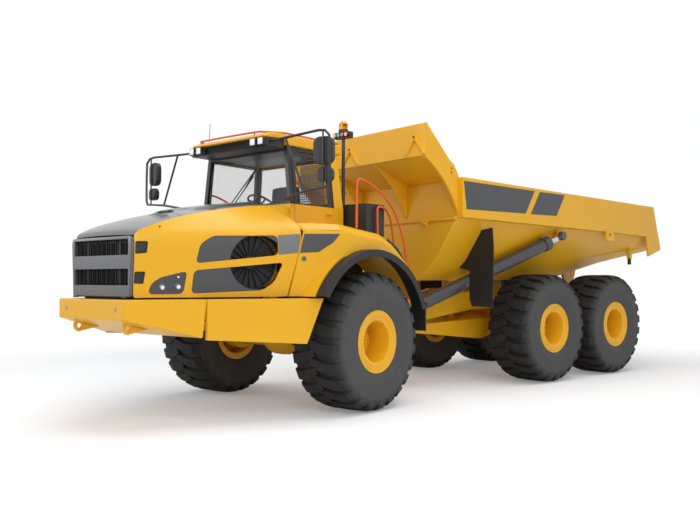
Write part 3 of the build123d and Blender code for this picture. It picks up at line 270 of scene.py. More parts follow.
def slab(bm, corners, depth):
    """A flat plate: a face through its corners, given a thickness along a vector."""
    face = bm.faces.new([bm.verts.new(corner) for corner in corners])
    pushed = ops.extrude_face_region(bm, geom=[face], use_keep_orig=True)["geom"]
    ops.translate(bm, vec=depth, verts=verts_in(pushed))


def box(bm, low, high, rounding=0.0, segments=2):
    """A box between two corners, with its edges rounded."""
    size = [b - a for a, b in zip(low, high)]
    middle = [(a + b) / 2 for a, b in zip(low, high)]
    spread = Matrix.Translation(middle) @ Matrix.Diagonal((*size, 1))
    made = ops.create_cube(bm, size=1, matrix=spread)
    if rounding:
        edges = list({edge for vert in made["verts"] for edge in vert.link_edges})
        rounded(bm, rounding, segments, edges=edges)


def disc(bm, centre, axis, radius, length, sides=24, taper=1.0):
    """A short round rod along an axis, narrower at its tip where it tapers."""
    turn = Vector(axis).to_track_quat("Z", "Y").to_matrix().to_4x4()
    ops.create_cone(bm, cap_ends=True, segments=sides, radius1=radius, radius2=radius * taper,
                    depth=length, matrix=Matrix.Translation(centre) @ turn)


STUD_TAPER = 0.88


def studs(bm, places, axis, radius, length, sides=6):
    """Nuts or bolt heads at places, standing along an axis."""
    for place in places:
        disc(bm, place, axis, radius, length, sides, STUD_TAPER)


def tube(bm, points, radius, smooth=False):
    """A round tube along points, through a curve."""
    curve = bpy.data.curves.new("route", "CURVE")
    curve.dimensions = "3D"
    curve.bevel_depth = radius
    curve.bevel_resolution = 3
    curve.use_fill_caps = True
    spline = curve.splines.new("NURBS" if smooth else "POLY")
    spline.points.add(len(points) - 1)
    for point, place in zip(spline.points, points):
        point.co = (*place, 1)
    if smooth:
        spline.order_u = 3
        spline.use_endpoint_u = True
    route = bpy.data.objects.new("route", curve)
    mesh = bpy.data.meshes.new_from_object(route)
    bm.from_mesh(mesh)
    bpy.data.objects.remove(route)
    bpy.data.curves.remove(curve)
    bpy.data.meshes.remove(mesh)


def mirrored(bm):
    """Add the mirror image over the middle plane."""
    ops.mirror(bm, geom=all_of(bm), axis="X", merge_dist=0.0001)


def turned_ring(bm, profile, centre, side, steps):
    """Spin a closed (u, radius) profile about a wheel's axle, u pointing outwards on that side."""
    verts = [bm.verts.new((centre[0] + side * u, centre[1], centre[2] + r)) for u, r in profile]
    edges = [bm.edges.new((verts[i - 1], verts[i])) for i in range(len(verts))]
    ops.spin(bm, geom=verts + edges, cent=centre, axis=(1, 0, 0), angle=2 * pi, steps=steps,
             use_merge=True)


# Wheels
WHEEL_RADIUS = 0.900
HALF_TRACK = 1.318
WHEELS = [("front", -2.5305), ("mid", 1.9875), ("rear", 3.9275)]
CARCASS = [
    # u, radius of the casing, with the groove floor between the lugs
    (0.330, 0.320), (0.332, 0.372), (0.345, 0.398), (0.356, 0.420), (0.361, 0.424), (0.364, 0.434),
    (0.372, 0.452), (0.386, 0.515), (0.391, 0.556), (0.394, 0.558), (0.394, 0.566), (0.392, 0.568),
    (0.395, 0.640), (0.391, 0.690), (0.384, 0.726), (0.387, 0.736), (0.383, 0.748),
    (0.368, 0.785), (0.346, 0.816), (0.312, 0.836), (0.200, 0.846), (0.0, 0.850),
]
CARCASS_RING = CARCASS + [(-u, r) for u, r in reversed(CARCASS[:-1])]
GROOVE_FLOOR = [
    # distance round the tread's section from its middle, u, radius, tilt of the outward normal
    (-0.060, -0.060, 0.850, 0), (0.0, 0.0, 0.850, 0), (0.200, 0.200, 0.846, 2),
    (0.300, 0.298, 0.838, 12), (0.352, 0.342, 0.818, 42), (0.400, 0.368, 0.782, 66),
    (0.450, 0.386, 0.738, 74),
]
LUG_ROWS = [
    # distance round the section, middle along the tread, width, height
    (-0.035, -0.018, 0.110, 0.048), (0.060, 0.022, 0.150, 0.050), (0.160, 0.060, 0.156, 0.051),
    (0.245, 0.072, 0.158, 0.052), (0.315, 0.074, 0.156, 0.048), (0.372, 0.074, 0.146, 0.034),
    (0.425, 0.074, 0.128, 0.006),
]
LUG_COLUMNS = (-0.5, 0.5)
LUG_TAPER = 0.93
LUG_ROOT_Z = -0.012
LUG_EDGE_ANGLE = 40
LUG_EDGE = 0.006
LUG_PITCHES = 24
PITCH = 2 * pi * WHEEL_RADIUS / LUG_PITCHES
TYRE_STEPS = 96
# Where the sidewall's colour starts to darken, and where the tread is darkest
CROWN_START, CROWN_END = 0.72, 0.865


def between(table, key, column):
    """Read a table's column at a key that may lie between two rows."""
    for low, high in zip(table, table[1:]):
        if key <= high[0] or high is table[-1]:
            share = (key - low[0]) / (high[0] - low[0])
            return low[column] + (high[column] - low[column]) * share


def lug_mesh():
    """One tread lug laid flat: x across the tread, y along it, z up."""
    bm = bmesh.new()
    rows, columns = len(LUG_ROWS) - 1, len(LUG_COLUMNS) - 1
    ops.create_grid(bm, x_segments=rows, y_segments=columns, size=0.5)
    for vert in bm.verts:
        row = LUG_ROWS[round((vert.co.x + 0.5) * rows)]
        column = LUG_COLUMNS[round((vert.co.y + 0.5) * columns)]
        vert.co = (row[0], row[1] + row[2] * column, 0)
    base = bm.verts[:]
    raised = ops.extrude_face_region(bm, geom=bm.faces[:], use_keep_orig=True)["geom"]
    for vert in verts_in(raised):
        middle = between(LUG_ROWS, vert.co.x, 1)
        vert.co.z = between(LUG_ROWS, vert.co.x, 3)
        vert.co.y = middle + (vert.co.y - middle) * LUG_TAPER
    for vert in base:
        vert.co.z = LUG_ROOT_Z
    rim = [edge for edge in bm.edges if min(v.co.z for v in edge.verts) > 0
           and edge.calc_face_angle(0) > radians(LUG_EDGE_ANGLE)]
    ops.recalc_face_normals(bm, faces=bm.faces)
    bevelled(bm, rim, LUG_EDGE, 1)
    return bm


def tyre_mesh(centre, side):
    """A casing with its chevron lugs, staggered by half a pitch from one shoulder to the other."""
    bm = lug_mesh()
    lug = all_of(bm)
    for step in range(1, LUG_PITCHES):
        copy = ops.duplicate(bm, geom=lug)["geom"]
        ops.translate(bm, vec=(0, PITCH * step, 0), verts=verts_in(copy))
    other = verts_in(ops.duplicate(bm, geom=all_of(bm))["geom"])
    sides = {vert: -1 for vert in other}
    ops.translate(bm, vec=(0, PITCH / 2, 0), verts=other)
    for vert in bm.verts:
        across, along, height = vert.co
        u, radius, tilt = (between(GROOVE_FLOOR, across, column) for column in (1, 2, 3))
        u += height * sin(radians(tilt))
        radius += height * cos(radians(tilt))
        angle = along / WHEEL_RADIUS
        vert.co = (centre[0] + side * sides.get(vert, 1) * u, centre[1] - radius * sin(angle),
                   centre[2] + radius * cos(angle))
    turned_ring(bm, CARCASS_RING, centre, side, TYRE_STEPS)
    crown = bm.verts.layers.float.new("crown")
    for vert in bm.verts:
        from_axle = sqrt((vert.co.y - centre[1]) ** 2 + (vert.co.z - centre[2]) ** 2)
        vert[crown] = min(1, max(0, (from_axle - CROWN_START) / (CROWN_END - CROWN_START)))
    return bm


RIM_RING = [
    # u, radius of the rim, its dished disc and the hub
    (0.330, 0.318), (0.332, 0.380), (0.343, 0.404), (0.352, 0.406), (0.357, 0.402), (0.356, 0.388),
    (0.350, 0.382), (0.350, 0.362), (0.356, 0.357), (0.355, 0.344), (0.346, 0.339), (0.343, 0.318),
    (0.349, 0.312), (0.346, 0.290), (0.338, 0.272), (0.318, 0.264), (0.060, 0.262), (-0.030, 0.260),
    (-0.040, 0.255), (-0.040, 0.208), (0.050, 0.203), (0.058, 0.190), (0.058, 0.090), (0.050, 0.080),
    (0.050, 0.001), (-0.100, 0.001), (-0.128, 0.005), (-0.128, 0.289), (-0.322, 0.292), (-0.345, 0.312),
    (-0.345, 0.393), (-0.330, 0.393), (-0.330, 0.318),
]
RIM_STEPS = 72
WHEEL_NUTS = 20
NUT_RINGS = [
    # how far outwards from the wheel's middle, radius of the circle, radius and length of a nut
    (-0.030, 0.232, 0.016, 0.036), (0.064, 0.165, 0.011, 0.024),
]
for axle, axle_y in WHEELS:
    for side_name, side in (("left", 1), ("right", -1)):
        hub = (side * HALF_TRACK, axle_y, WHEEL_RADIUS)
        wheel = f"{axle}_{side_name}"
        bm = tyre_mesh(hub, side)
        finished(f"tread_{wheel}", bm, TYRE, f"wheel_{wheel}", [f"tyre_{wheel}"])
        bm = bmesh.new()
        turned_ring(bm, RIM_RING, hub, side, RIM_STEPS)
        for outwards, circle, radius, length in NUT_RINGS:
            turns = [2 * pi * i / WHEEL_NUTS for i in range(WHEEL_NUTS)]
            ring = [(hub[0] + side * outwards, hub[1] + circle * cos(t), hub[2] + circle * sin(t))
                    for t in turns]
            studs(bm, ring, (side, 0, 0), radius, length)
        finished(f"rim_steel_{wheel}", bm, YELLOW, f"wheel_{wheel}", [f"rim_{wheel}"])

# Hood: one smooth skin over the frame sections, parted into two yellow flanks and a dark top
HOOD_SECTIONS = [
    # y, bottom x, shoulder x, shoulder z, top edge x, top edge z, centre z
    (-5.460, 0.560, 0.588, 2.090, 0.570, 2.178, 2.192),
    (-5.435, 0.574, 0.604, 2.096, 0.582, 2.216, 2.232),
    (-5.385, 0.595, 0.624, 2.104, 0.594, 2.250, 2.270),
    (-5.150, 0.690, 0.722, 2.160, 0.640, 2.345, 2.375),
    (-4.800, 0.842, 0.874, 2.205, 0.668, 2.442, 2.478),
    (-4.400, 1.010, 1.040, 2.240, 0.690, 2.525, 2.565),
    (-3.950, 1.185, 1.225, 2.272, 0.712, 2.596, 2.640),
    (-3.560, 1.332, 1.382, 2.300, 0.730, 2.645, 2.690),
]
HOOD_BOTTOM = 1.494
FLANK_COLUMNS = [
    # share of the way up the flank, or from the shoulder to the top edge where above 1
    0, 0.25, 0.55, 0.84, 1.12, 1.45, 1.75, 2,
]
WINDOWS = {
    # (y, z) corners of each opening in the flank
    "upper_vent": [(-4.830, 1.878), (-4.785, 2.096), (-4.640, 2.196), (-3.900, 2.222), (-3.900, 1.985)],
    "lower_vent": [(-4.844, 1.799), (-3.830, 1.900), (-3.934, 1.665), (-4.068, 1.569), (-4.868, 1.536)],
    "lamp": [(-5.314, 1.530), (-5.290, 1.640), (-5.200, 1.715), (-4.915, 1.792), (-4.950, 1.532)],
    "upper_recess": [(-5.454, 1.972), (-5.452, 2.112), (-5.325, 2.116), (-5.335, 1.984)],
    "lower_recess": [(-5.456, 1.648), (-5.454, 1.780), (-5.345, 1.782), (-5.360, 1.644)],
}
WINDOW_CORNER = 0.05
RECESS_CORNER = 0.02
RECESSES = ("upper_recess", "lower_recess")
SKIN_LEVELS = 3
SKIN_WALL = 0.020
# The seam behind the hood, seen from the side: upright at the lid, then slanted forwards as it falls
SEAM_Y = -3.565
SEAM_KNEE = (-3.589, 2.306)
SEAM_RUN, SEAM_DROP = 0.182, 0.812


def flank_point(section, share):
    """A point of the left flank's cage at a share of its section."""
    y, low_x, side_x, side_z, edge_x, edge_z, _ = section
    if share <= 1:
        return (low_x + (side_x - low_x) * share, y, HOOD_BOTTOM + (side_z - HOOD_BOTTOM) * share)
    share -= 1
    return (side_x + (edge_x - side_x) * share, y, side_z + (edge_z - side_z) * share)


def skin_grid(rows, columns, point_of):
    """A smooth open skin: a grid cage of points, subdivided."""
    bm = bmesh.new()
    ops.create_grid(bm, x_segments=len(rows) - 1, y_segments=len(columns) - 1, size=0.5)
    for vert in bm.verts:
        row = rows[round((vert.co.x + 0.5) * (len(rows) - 1))]
        column = columns[round((vert.co.y + 0.5) * (len(columns) - 1))]
        vert.co = point_of(row, column)
    mesh = bpy.data.meshes.new("cage")
    bm.to_mesh(mesh)
    bm.free()
    cage = added("cage", mesh)
    smooth = cage.modifiers.new("smooth", "SUBSURF")
    smooth.levels = smooth.render_levels = SKIN_LEVELS
    skin = bmesh.new()
    skin.from_object(cage, bpy.context.evaluated_depsgraph_get())
    bpy.data.objects.remove(cage)
    bpy.data.meshes.remove(mesh)
    return skin


def pairs(points):
    """Each point with the next one, the last with the first."""
    return zip(points, points[1:] + points[:1])


def rounded_outline(corners, radius):
    """A flat outline with its corners rounded, as (y, z) points."""
    bm = bmesh.new()
    verts = [bm.verts.new((0, y, z)) for y, z in corners]
    bm.faces.new(verts)
    bevelled(bm, verts, radius, 4, "VERTICES", True)
    bm.faces.ensure_lookup_table()
    points = [(v.co.y, v.co.z) for v in bm.faces[0].verts]
    bm.free()
    return points


def inside(point, outline):
    """Whether a (y, z) point lies in a convex outline."""
    turns = [(b[0] - a[0]) * (point[1] - a[1]) - (b[1] - a[1]) * (point[0] - a[0])
             for a, b in pairs(outline)]
    return all(t >= 0 for t in turns) or all(t <= 0 for t in turns)


CUT_REACH = 0.02


def parted(bm, outline):
    """Cut a skin along an outline that is seen from the side; return the faces within it."""
    low = [min(p[i] for p in outline) - CUT_REACH for i in (0, 1)]
    high = [max(p[i] for p in outline) + CUT_REACH for i in (0, 1)]
    for a, b in pairs(outline):
        near = [f for f in bm.faces if all(
            max(v.co[i + 1] for v in f.verts) > low[i]
            and min(v.co[i + 1] for v in f.verts) < high[i] for i in (0, 1))]
        geom = set(near) | {e for f in near for e in f.edges} | {v for f in near for v in f.verts}
        normal = (0, b[1] - a[1], a[0] - b[0])
        ops.bisect_plane(bm, geom=list(geom), plane_co=(0, *a), plane_no=normal, dist=CUT_SNAP)
    return [f for f in bm.faces if inside(f.calc_center_median().yz, outline)]


def walled(bm, thickness):
    """Give an open skin its wall, inwards from the face that shows."""
    ops.recalc_face_normals(bm, faces=bm.faces)
    outward = sum((f.normal * f.calc_area() for f in bm.faces), Vector())
    middle = sum((f.calc_center_median() for f in bm.faces), Vector()) / len(bm.faces)
    if outward.x * middle.x + outward.z < 0:
        ops.reverse_faces(bm, faces=bm.faces)
    ops.solidify(bm, geom=bm.faces[:], thickness=thickness)


def behind_seam(point):
    """Whether a point lies behind the seam between hood and fender."""
    knee_y, knee_z = SEAM_KNEE
    if point.z > knee_z:
        return point.y > SEAM_Y
    return point.y > knee_y - (knee_z - point.z) * SEAM_RUN / SEAM_DROP


def hood_flank():
    """The left flank's smooth skin, trimmed at the seam behind it."""
    bm = skin_grid(HOOD_SECTIONS, FLANK_COLUMNS, flank_point)
    ops.bisect_plane(bm, geom=all_of(bm), plane_co=(0, *SEAM_KNEE), plane_no=(0, SEAM_DROP, -SEAM_RUN))
    ops.bisect_plane(bm, geom=all_of(bm), plane_co=(0, SEAM_Y, 0), plane_no=(0, 1, 0))
    behind = [f for f in bm.faces if behind_seam(f.calc_center_median())]
    ops.delete(bm, geom=behind, context="FACES")
    return bm


bm = hood_flank()
for window, outline in WINDOWS.items():
    hole = parted(bm, rounded_outline(outline, RECESS_CORNER if window in RECESSES else WINDOW_CORNER))
    ops.delete(bm, geom=hole, context="FACES")
walled(bm, SKIN_WALL)
mirrored(bm)
finished("hood_flanks", bm, YELLOW, "hood", ["hood"], 40)


def skin_patch(outline, radius, proud, thickness, hole=None):
    """A sheet that follows the hood's flanks, cut to an outline, proud of them or behind them."""
    bm = hood_flank()
    kept = set(parted(bm, rounded_outline(outline, radius)))
    ops.delete(bm, geom=[f for f in bm.faces if f not in kept], context="FACES")
    if hole:
        ops.delete(bm, geom=parted(bm, hole), context="FACES")
    ops.recalc_face_normals(bm, faces=bm.faces)
    if sum(face.normal.x for face in bm.faces) < 0:
        ops.reverse_faces(bm, faces=bm.faces)
    bm.normal_update()
    for vert, normal in [(vert, vert.normal.copy()) for vert in bm.verts]:
        vert.co += normal * proud
    walled(bm, thickness)
    mirrored(bm)
    return bm


def grown(outline, margin):
    """An outline whose corners stand further from its middle."""
    middle = [sum(point[i] for point in outline) / len(outline) for i in (0, 1)]
    return [tuple(c + margin * (1 if c > m else -1) for c, m in zip(point, middle)) for point in outline]


def flank_x(y, z):
    """How far the left flank stands from the middle plane at a height."""
    low_x, side_x, side_z = (between(HOOD_SECTIONS, y, column) for column in (1, 2, 3))
    return low_x + (side_x - low_x) * (z - HOOD_BOTTOM) / (side_z - HOOD_BOTTOM)


# Vents: dark panels set into the windows, cut round where the fan shows
PANEL_WALL = 0.004
PANEL_DEPTH = -0.010
FAN_Y, FAN_Z = -4.132, 1.900
FAN_RADIUS = 0.322
FAN_STEPS = 48
# The fan's own disc: x and y of its middle, and how far x changes with y across it
DISC_X, DISC_Y = 1.000, -4.141
FAN_SLOPE = 0.4277


def fan_circle(radius):
    """A circle round the fan's middle, as (y, z) points."""
    turns = [2 * pi * i / FAN_STEPS for i in range(FAN_STEPS)]
    return [(FAN_Y + radius * cos(t), FAN_Z + radius * sin(t)) for t in turns]


for window, replaced in (("upper_vent", ["hood_vents"]), ("lower_vent", ())):
    outline = grown(WINDOWS[window], 0.014)
    bm = skin_patch(outline, WINDOW_CORNER, PANEL_DEPTH, PANEL_WALL, fan_circle(FAN_RADIUS))
    finished(f"{window}_panel", bm, PANEL_GREY, "hood", replaced)

# Fan shrouds: a duct from the fan's disc to just behind the skin, which leans in above a height
SHROUD_RADIUS = 1.05 * FAN_RADIUS
SHROUD_INSET = 0.034
SKIN_LEAN_Z = 2.14
SKIN_LEAN = 0.4
bm = bmesh.new()
shroud = []
for y, z in fan_circle(SHROUD_RADIUS):
    inset = SHROUD_INSET + SKIN_LEAN * max(0, z - SKIN_LEAN_Z)
    shroud.append((bm.verts.new((flank_x(y, z) - inset, y, z)),
                   bm.verts.new((DISC_X + (y - DISC_Y) * FAN_SLOPE, y, z))))
for (outer_a, inner_a), (outer_b, inner_b) in pairs(shroud):
    bm.faces.new((outer_a, outer_b, inner_b, inner_a))
walled(bm, 0.006)
mirrored(bm)
finished("fan_shrouds", bm, CORE_BLACK, CAB)

# A pale film strip on the flank, and dark liners behind the two small openings beside the grille
LINER_DEPTH = -0.032
STRIP = [(-3.897, 1.990), (-3.897, 2.222), (-3.612, 2.252), (-3.662, 2.018)]
finished("hood_strip", skin_patch(STRIP, 0.004, 0.0015, 0.003), PALE_GREY, "hood")
for window in RECESSES:
    bm = skin_patch(grown(WINDOWS[window], 0.010), RECESS_CORNER, LINER_DEPTH, PANEL_WALL)
    finished(f"{window}_liner", bm, BLACK_PLASTIC, "hood")

# Headlamps: a smoked cover over two round lamps and a small one
COVER_DEPTH = -0.006
bm = skin_patch(grown(WINDOWS["lamp"], 0.012), WINDOW_CORNER, COVER_DEPTH, PANEL_WALL)
finished("headlamp_cover", bm, SMOKED, "hood")
# Which way the flank faces beside the lamps
FLANK_NORMAL = (0.92, -0.38, 0.04)
LAMP_BOWLS = [
    # y, z, radius
    (-5.165, 1.606, 0.046), (-5.000, 1.612, 0.046), (-5.005, 1.722, 0.024),
]
for part, scale, finish, lift in (("bowls", 1.0, CYLINDER, 0.001), ("bulbs", 0.5, LENS, 0.005)):
    bm = bmesh.new()
    for y, z, radius in LAMP_BOWLS:
        disc(bm, (flank_x(y, z) + COVER_DEPTH + lift, y, z), FLANK_NORMAL, radius * scale, 0.010, 28)
    rounded(bm, 0.002)
    mirrored(bm)
    finished(f"headlamp_{part}", bm, finish, "hood")


def top_point(section, share):
    """A point of the hood's top panel, crowned from edge to edge."""
    y, _, _, _, edge_x, edge_z, centre_z = section
    return (edge_x * share, y, edge_z + (centre_z - edge_z) * (1 - share * share))


def eased(value):
    """Ease from 0 to 1 as the value goes from 0 to 1."""
    value = min(1, max(0, value))
    return value * value * (3 - 2 * value)


# The lid's raised middle: where it starts, its height, its half width there and how that grows
BULGE_START = -4.52
BULGE_HEIGHT = 0.026
BULGE_HALF_WIDTH = 0.43
BULGE_FLARE = 0.10
BULGE_SIDE_EASE = 0.05
BULGE_FRONT_EASE = 0.12
LID_COLUMNS = (-1, -0.92, -0.7, -0.5, -0.2, 0.2, 0.5, 0.7, 0.92, 1)
bm = skin_grid(HOOD_SECTIONS, LID_COLUMNS, top_point)
for vert in bm.verts:
    behind = vert.co.y - BULGE_START
    across = eased((BULGE_HALF_WIDTH + BULGE_FLARE * behind - abs(vert.co.x)) / BULGE_SIDE_EASE)
    vert.co.z += BULGE_HEIGHT * across * eased(behind / BULGE_FRONT_EASE)
ops.bisect_plane(bm, geom=all_of(bm), plane_co=(0, SEAM_Y, 0), plane_no=(0, 1, 0), clear_outer=True)
walled(bm, SKIN_WALL)
finished("hood_lid", bm, DARK_GREY, "hood", ["hood_top"], 40)

# The latch in the lid: a dark well with a plated tab
for part, finish, slot, low, high in (
        ("well", BLACK_PLASTIC, "matt_black", (-0.115, -4.640, 2.512), (0.115, -4.570, 2.5325)),
        ("tab", ZINC, "rod_chrome", (-0.060, -4.615, 2.528), (0.060, -4.590, 2.5385))):
    bm = bmesh.new()
    box(bm, low, high, 0.004)
    finished(f"latch_{part}", bm, finish, "hood")

# What shows behind the grille: the radiator's dark core with its upright fins
bm = bmesh.new()
FIN_PITCH = 0.0132
FIN_LOW, FIN_HIGH = 1.525, 2.150
box(bm, (-0.540, -5.452, 1.520), (0.540, -5.446, 2.155))
for step in range(-40, 41):
    fin_x = step * FIN_PITCH
    box(bm, (fin_x - 0.0015, -5.458, FIN_LOW), (fin_x + 0.0015, -5.451, FIN_HIGH))
for side in SIDES:
    bar_x = side * 0.30
    box(bm, (bar_x - 0.035, -5.462, FIN_LOW), (bar_x + 0.035, -5.450, FIN_HIGH), 0.004)
finished("radiator_core", bm, CORE_BLACK, "hood")

# The hood's inner frame: a ring behind the core, two bows under the lid, hinge eyes at its foot
HINGE_Y, HINGE_Z = -5.514, 1.500
RING_FRONT_Y, RING_REAR_Y = -5.456, -5.418
CROSS_BARS = [
    # half length, front and rear y, low and high z
    (0.548, RING_FRONT_Y, RING_REAR_Y, 1.494, 1.535), (0.556, RING_FRONT_Y, RING_REAR_Y, 2.095, 2.128),
    (0.655, -5.190, -5.150, 2.230, 2.290), (0.790, -4.420, -4.380, 2.400, 2.440),
]
bm = bmesh.new()
for half_length, front_y, rear_y, low_z, high_z in CROSS_BARS:
    box(bm, (-half_length, front_y, low_z), (half_length, rear_y, high_z), 0.004)
for side in SIDES:
    inner, outer = sorted((side * 0.470, side * 0.552))
    box(bm, (inner, RING_FRONT_Y, 1.530), (outer, RING_REAR_Y, 2.100), 0.004)
    inner, outer = sorted((side * 0.440, side * 0.520))
    box(bm, (inner, HINGE_Y, HINGE_Z - 0.006), (outer, -5.450, HINGE_Z + 0.006), 0.002)
    disc(bm, (side * 0.480, HINGE_Y, HINGE_Z), (1, 0, 0), 0.011, 0.080)
finished("hood_frame", bm, BLACK_PAINT_AND_CAB_SHADE, "hood")

# Plate pieces that keep the CAD's form, with their edges rounded, and where their paint changes
WAIST_Z = 2.672
PILLAR_Y = -2.440
COWL_Y = -3.306
CAB_INSIDE_Y = -3.25
REAR_WALL_Y = -2.4


def cab_paint(face):
    """Yellow below the waist and at the rear pillar, black above, grey on the cowl's top, and black as
    painted shade on the faces inside the cab.
    """
    middle = face.calc_center_median()
    faces_inwards = middle.x * face.normal.x < -0.05 or (middle.y > REAR_WALL_Y and face.normal.y < -0.5)
    # Faces inside the cab are painted black as painted shade, where the inside of the roof and walls
    # lies in shade
    if middle.y > CAB_INSIDE_Y and faces_inwards:
        return 1
    if middle.y < COWL_Y and face.normal.z > 0.95:
        return 2
    return 1 if middle.z > WAIST_Z and middle.y < PILLAR_Y else 0


def door_paint(face):
    """Yellow below the waist, a black frame round the window above it."""
    return 1 if face.calc_center_median().z > WAIST_Z else 0


# The grille's two openings, from z to z, and their half width
GRILLE_OPENINGS = [(1.630, 1.813), (1.962, 2.138)]
GRILLE_HALF_WIDTH = 0.529
OPENING_LIP = 0.002


def grille_paint(face):
    """Grey frame with dark slats in its two openings."""
    middle = face.calc_center_median()
    in_opening = any(low - OPENING_LIP < middle.z < high + OPENING_LIP for low, high in GRILLE_OPENINGS)
    return 1 if in_opening and abs(middle.x) < GRILLE_HALF_WIDTH else 0


# The deck edge lies above this z, outside this x and before this y; shorter edges are left alone
DECK_EDGE_Z = 1.56
DECK_EDGE_X = 1.04
DECK_END_Y = -1.47
LONG_EDGE = 0.05


def fender_shoulder(edge):
    """The long edges where a fender's side turns over to its deck."""
    a, b = (vert.co for vert in edge.verts)
    at_deck = min(a.z, b.z) > DECK_EDGE_Z and min(abs(a.x), abs(b.x)) > DECK_EDGE_X
    return (at_deck and abs(a.y - b.y) > LONG_EDGE and max(a.y, b.y) < DECK_END_Y
            and edge.calc_face_angle_signed(0) > 0)


DRESSED = [
    # finish, body, slot, nodes with the radius of their edges in m
    (YELLOW, CAB, "body_yellow", {"cab_roof": 0.018, "bumper": 0.014, "side_skirts": 0.008}),
    (YELLOW, CAB, "frame_yellow", {"front_axle": 0.006, "front_frame": 0.006}),
    (FLARE, CAB, "flare_rubber", {"fender_flares": 0.008}),
    (BLACK_PLASTIC, CAB, "matt_black", {"roof_visor": 0.010, "deck_boxes": 0.004}),
    (YELLOW, "dump_body", "body_yellow", {"dump_body": 0.008, "spill_guard": 0.005}),
    (FLARE, "dump_body", "matt_black", {"mudflaps": 0.003}),
    (YELLOW, "rear_frame", "frame_yellow", {"rear_frame": 0.006, "rear_axles": 0.006}),
    (YELLOW, "rear_frame", "frame_yellow", {"axle_stays": 0.012}),
    (YELLOW, "hitch", "frame_yellow", {"hitch": 0.006}),
]
for finish, body, slot, widths in DRESSED:
    for node, width in widths.items():
        dressed(node, finish, body, width)
WAIST_CUT = ((0, 0, WAIST_Z), (0, 0, 1))
PILLAR_CUT = ((0, PILLAR_Y, 0), (0, 1, 0))
dressed("cab_shell", [YELLOW, BLACK_PAINT_AND_CAB_SHADE, DARK_GREY], CAB, 0.008,
        cuts=[WAIST_CUT, PILLAR_CUT], paint=cab_paint)
dressed("cab_door", [YELLOW, BLACK_PAINT_AND_CAB_SHADE], "cab_door", 0.005, cuts=[WAIST_CUT],
        paint=door_paint)
GRILLE_CUTS = [((0, 0, z), (0, 0, 1)) for opening in GRILLE_OPENINGS for z in opening]
GRILLE_CUTS += [((side * GRILLE_HALF_WIDTH, 0, 0), (1, 0, 0)) for side in SIDES]
dressed("grille", [DARK_GREY, CORE_BLACK], "hood", 0.003, cuts=GRILLE_CUTS,
        paint=grille_paint)
dressed("fenders", YELLOW, CAB, 0.006, broad=fender_shoulder)

# Rails of bent tube: two hoops on the left deck, one on the right, and the rail round the roof
GREAT_HOOP = [
    # y, z
    (-2.716, 2.361), (-2.706, 2.860), (-2.700, 2.992), (-2.590, 2.998), (-2.400, 2.950), (-2.160, 2.850),
    (-1.950, 2.700), (-1.790, 2.500), (-1.670, 2.240), (-1.610, 2.020), (-1.585, 1.838),
]
SMALL_HOOP = [
    (-1.990, 2.178), (-2.003, 2.560), (-2.006, 2.690), (-1.930, 2.712), (-1.800, 2.680), (-1.700, 2.560),
    (-1.650, 2.380), (-1.615, 2.120), (-1.600, 1.860),
]
ROOF_RAIL = [
    # x, y, from the left rear corner to the middle of the front
    (0.765, -2.265), (0.765, -3.200), (0.762, -3.320), (0.610, -3.560), (0.540, -3.600), (0, -3.600),
]
ROOF_POSTS = [
    # x, y, foot z
    (0.765, -2.300, 3.560), (0.765, -2.800, 3.560), (0.765, -3.250, 3.560), (0.500, -3.600, 3.548),
]
ROOF_RAIL_Z = 3.586
GREAT_HOOP_X = 1.470
SMALL_HOOP_X = 1.265
HOOP_RADIUS = 0.016
bm = bmesh.new()
tube(bm, [(GREAT_HOOP_X, y, z) for y, z in GREAT_HOOP], HOOP_RADIUS, smooth=True)
tube(bm, [(x, y, ROOF_RAIL_Z) for x, y in ROOF_RAIL], 0.013, smooth=True)
for x, y, foot_z in ROOF_POSTS:
    tube(bm, [(x, y, foot_z), (x, y, ROOF_RAIL_Z)], 0.009)
mirrored(bm)
tube(bm, [(SMALL_HOOP_X, y, z) for y, z in SMALL_HOOP], HOOP_RADIUS, smooth=True)
finished("bent_rails", bm, ORANGE, CAB, ["handrails"])

# Film panels, left blank, on the body's rails and on the fenders
RAIL_FACE = 1.680
FILM_SINK = 0.001
RAIL_PANELS = [
    # (y, z) corners
    [(-0.330, 3.155), (1.430, 3.140), (1.185, 2.760), (-0.270, 2.740)],
    [(1.570, 3.136), (2.290, 3.138), (2.040, 2.770), (1.320, 2.760)],
]
bm = bmesh.new()
for outline in RAIL_PANELS:
    slab(bm, [(RAIL_FACE - FILM_SINK, y, z) for y, z in outline], (0.0025, 0, 0))
mirrored(bm)
finished("body_films", bm, PANEL_GREY, "dump_body")


# The fender's side stands at one x where the hood ends and at another further back
FENDER_SIDE = [(SEAM_Y, 1.382), (-3.060, 1.600)]


def fender_x(y):
    """How far the fender's side stands from the middle plane."""
    (front_y, front_x), (rear_y, rear_x) = FENDER_SIDE
    return front_x + (y - front_y) * (rear_x - front_x) / (rear_y - front_y)


FENDER_PANEL = [(-3.596, 2.250), (-3.150, 2.262), (-3.235, 2.155), (-3.420, 2.032), (-3.646, 2.018)]
bm = bmesh.new()
slab(bm, [(fender_x(y) - FILM_SINK, y, z) for y, z in FENDER_PANEL], (0.0032, -0.0014, 0))
mirrored(bm)
finished("fender_films", bm, PANEL_GREY, CAB)

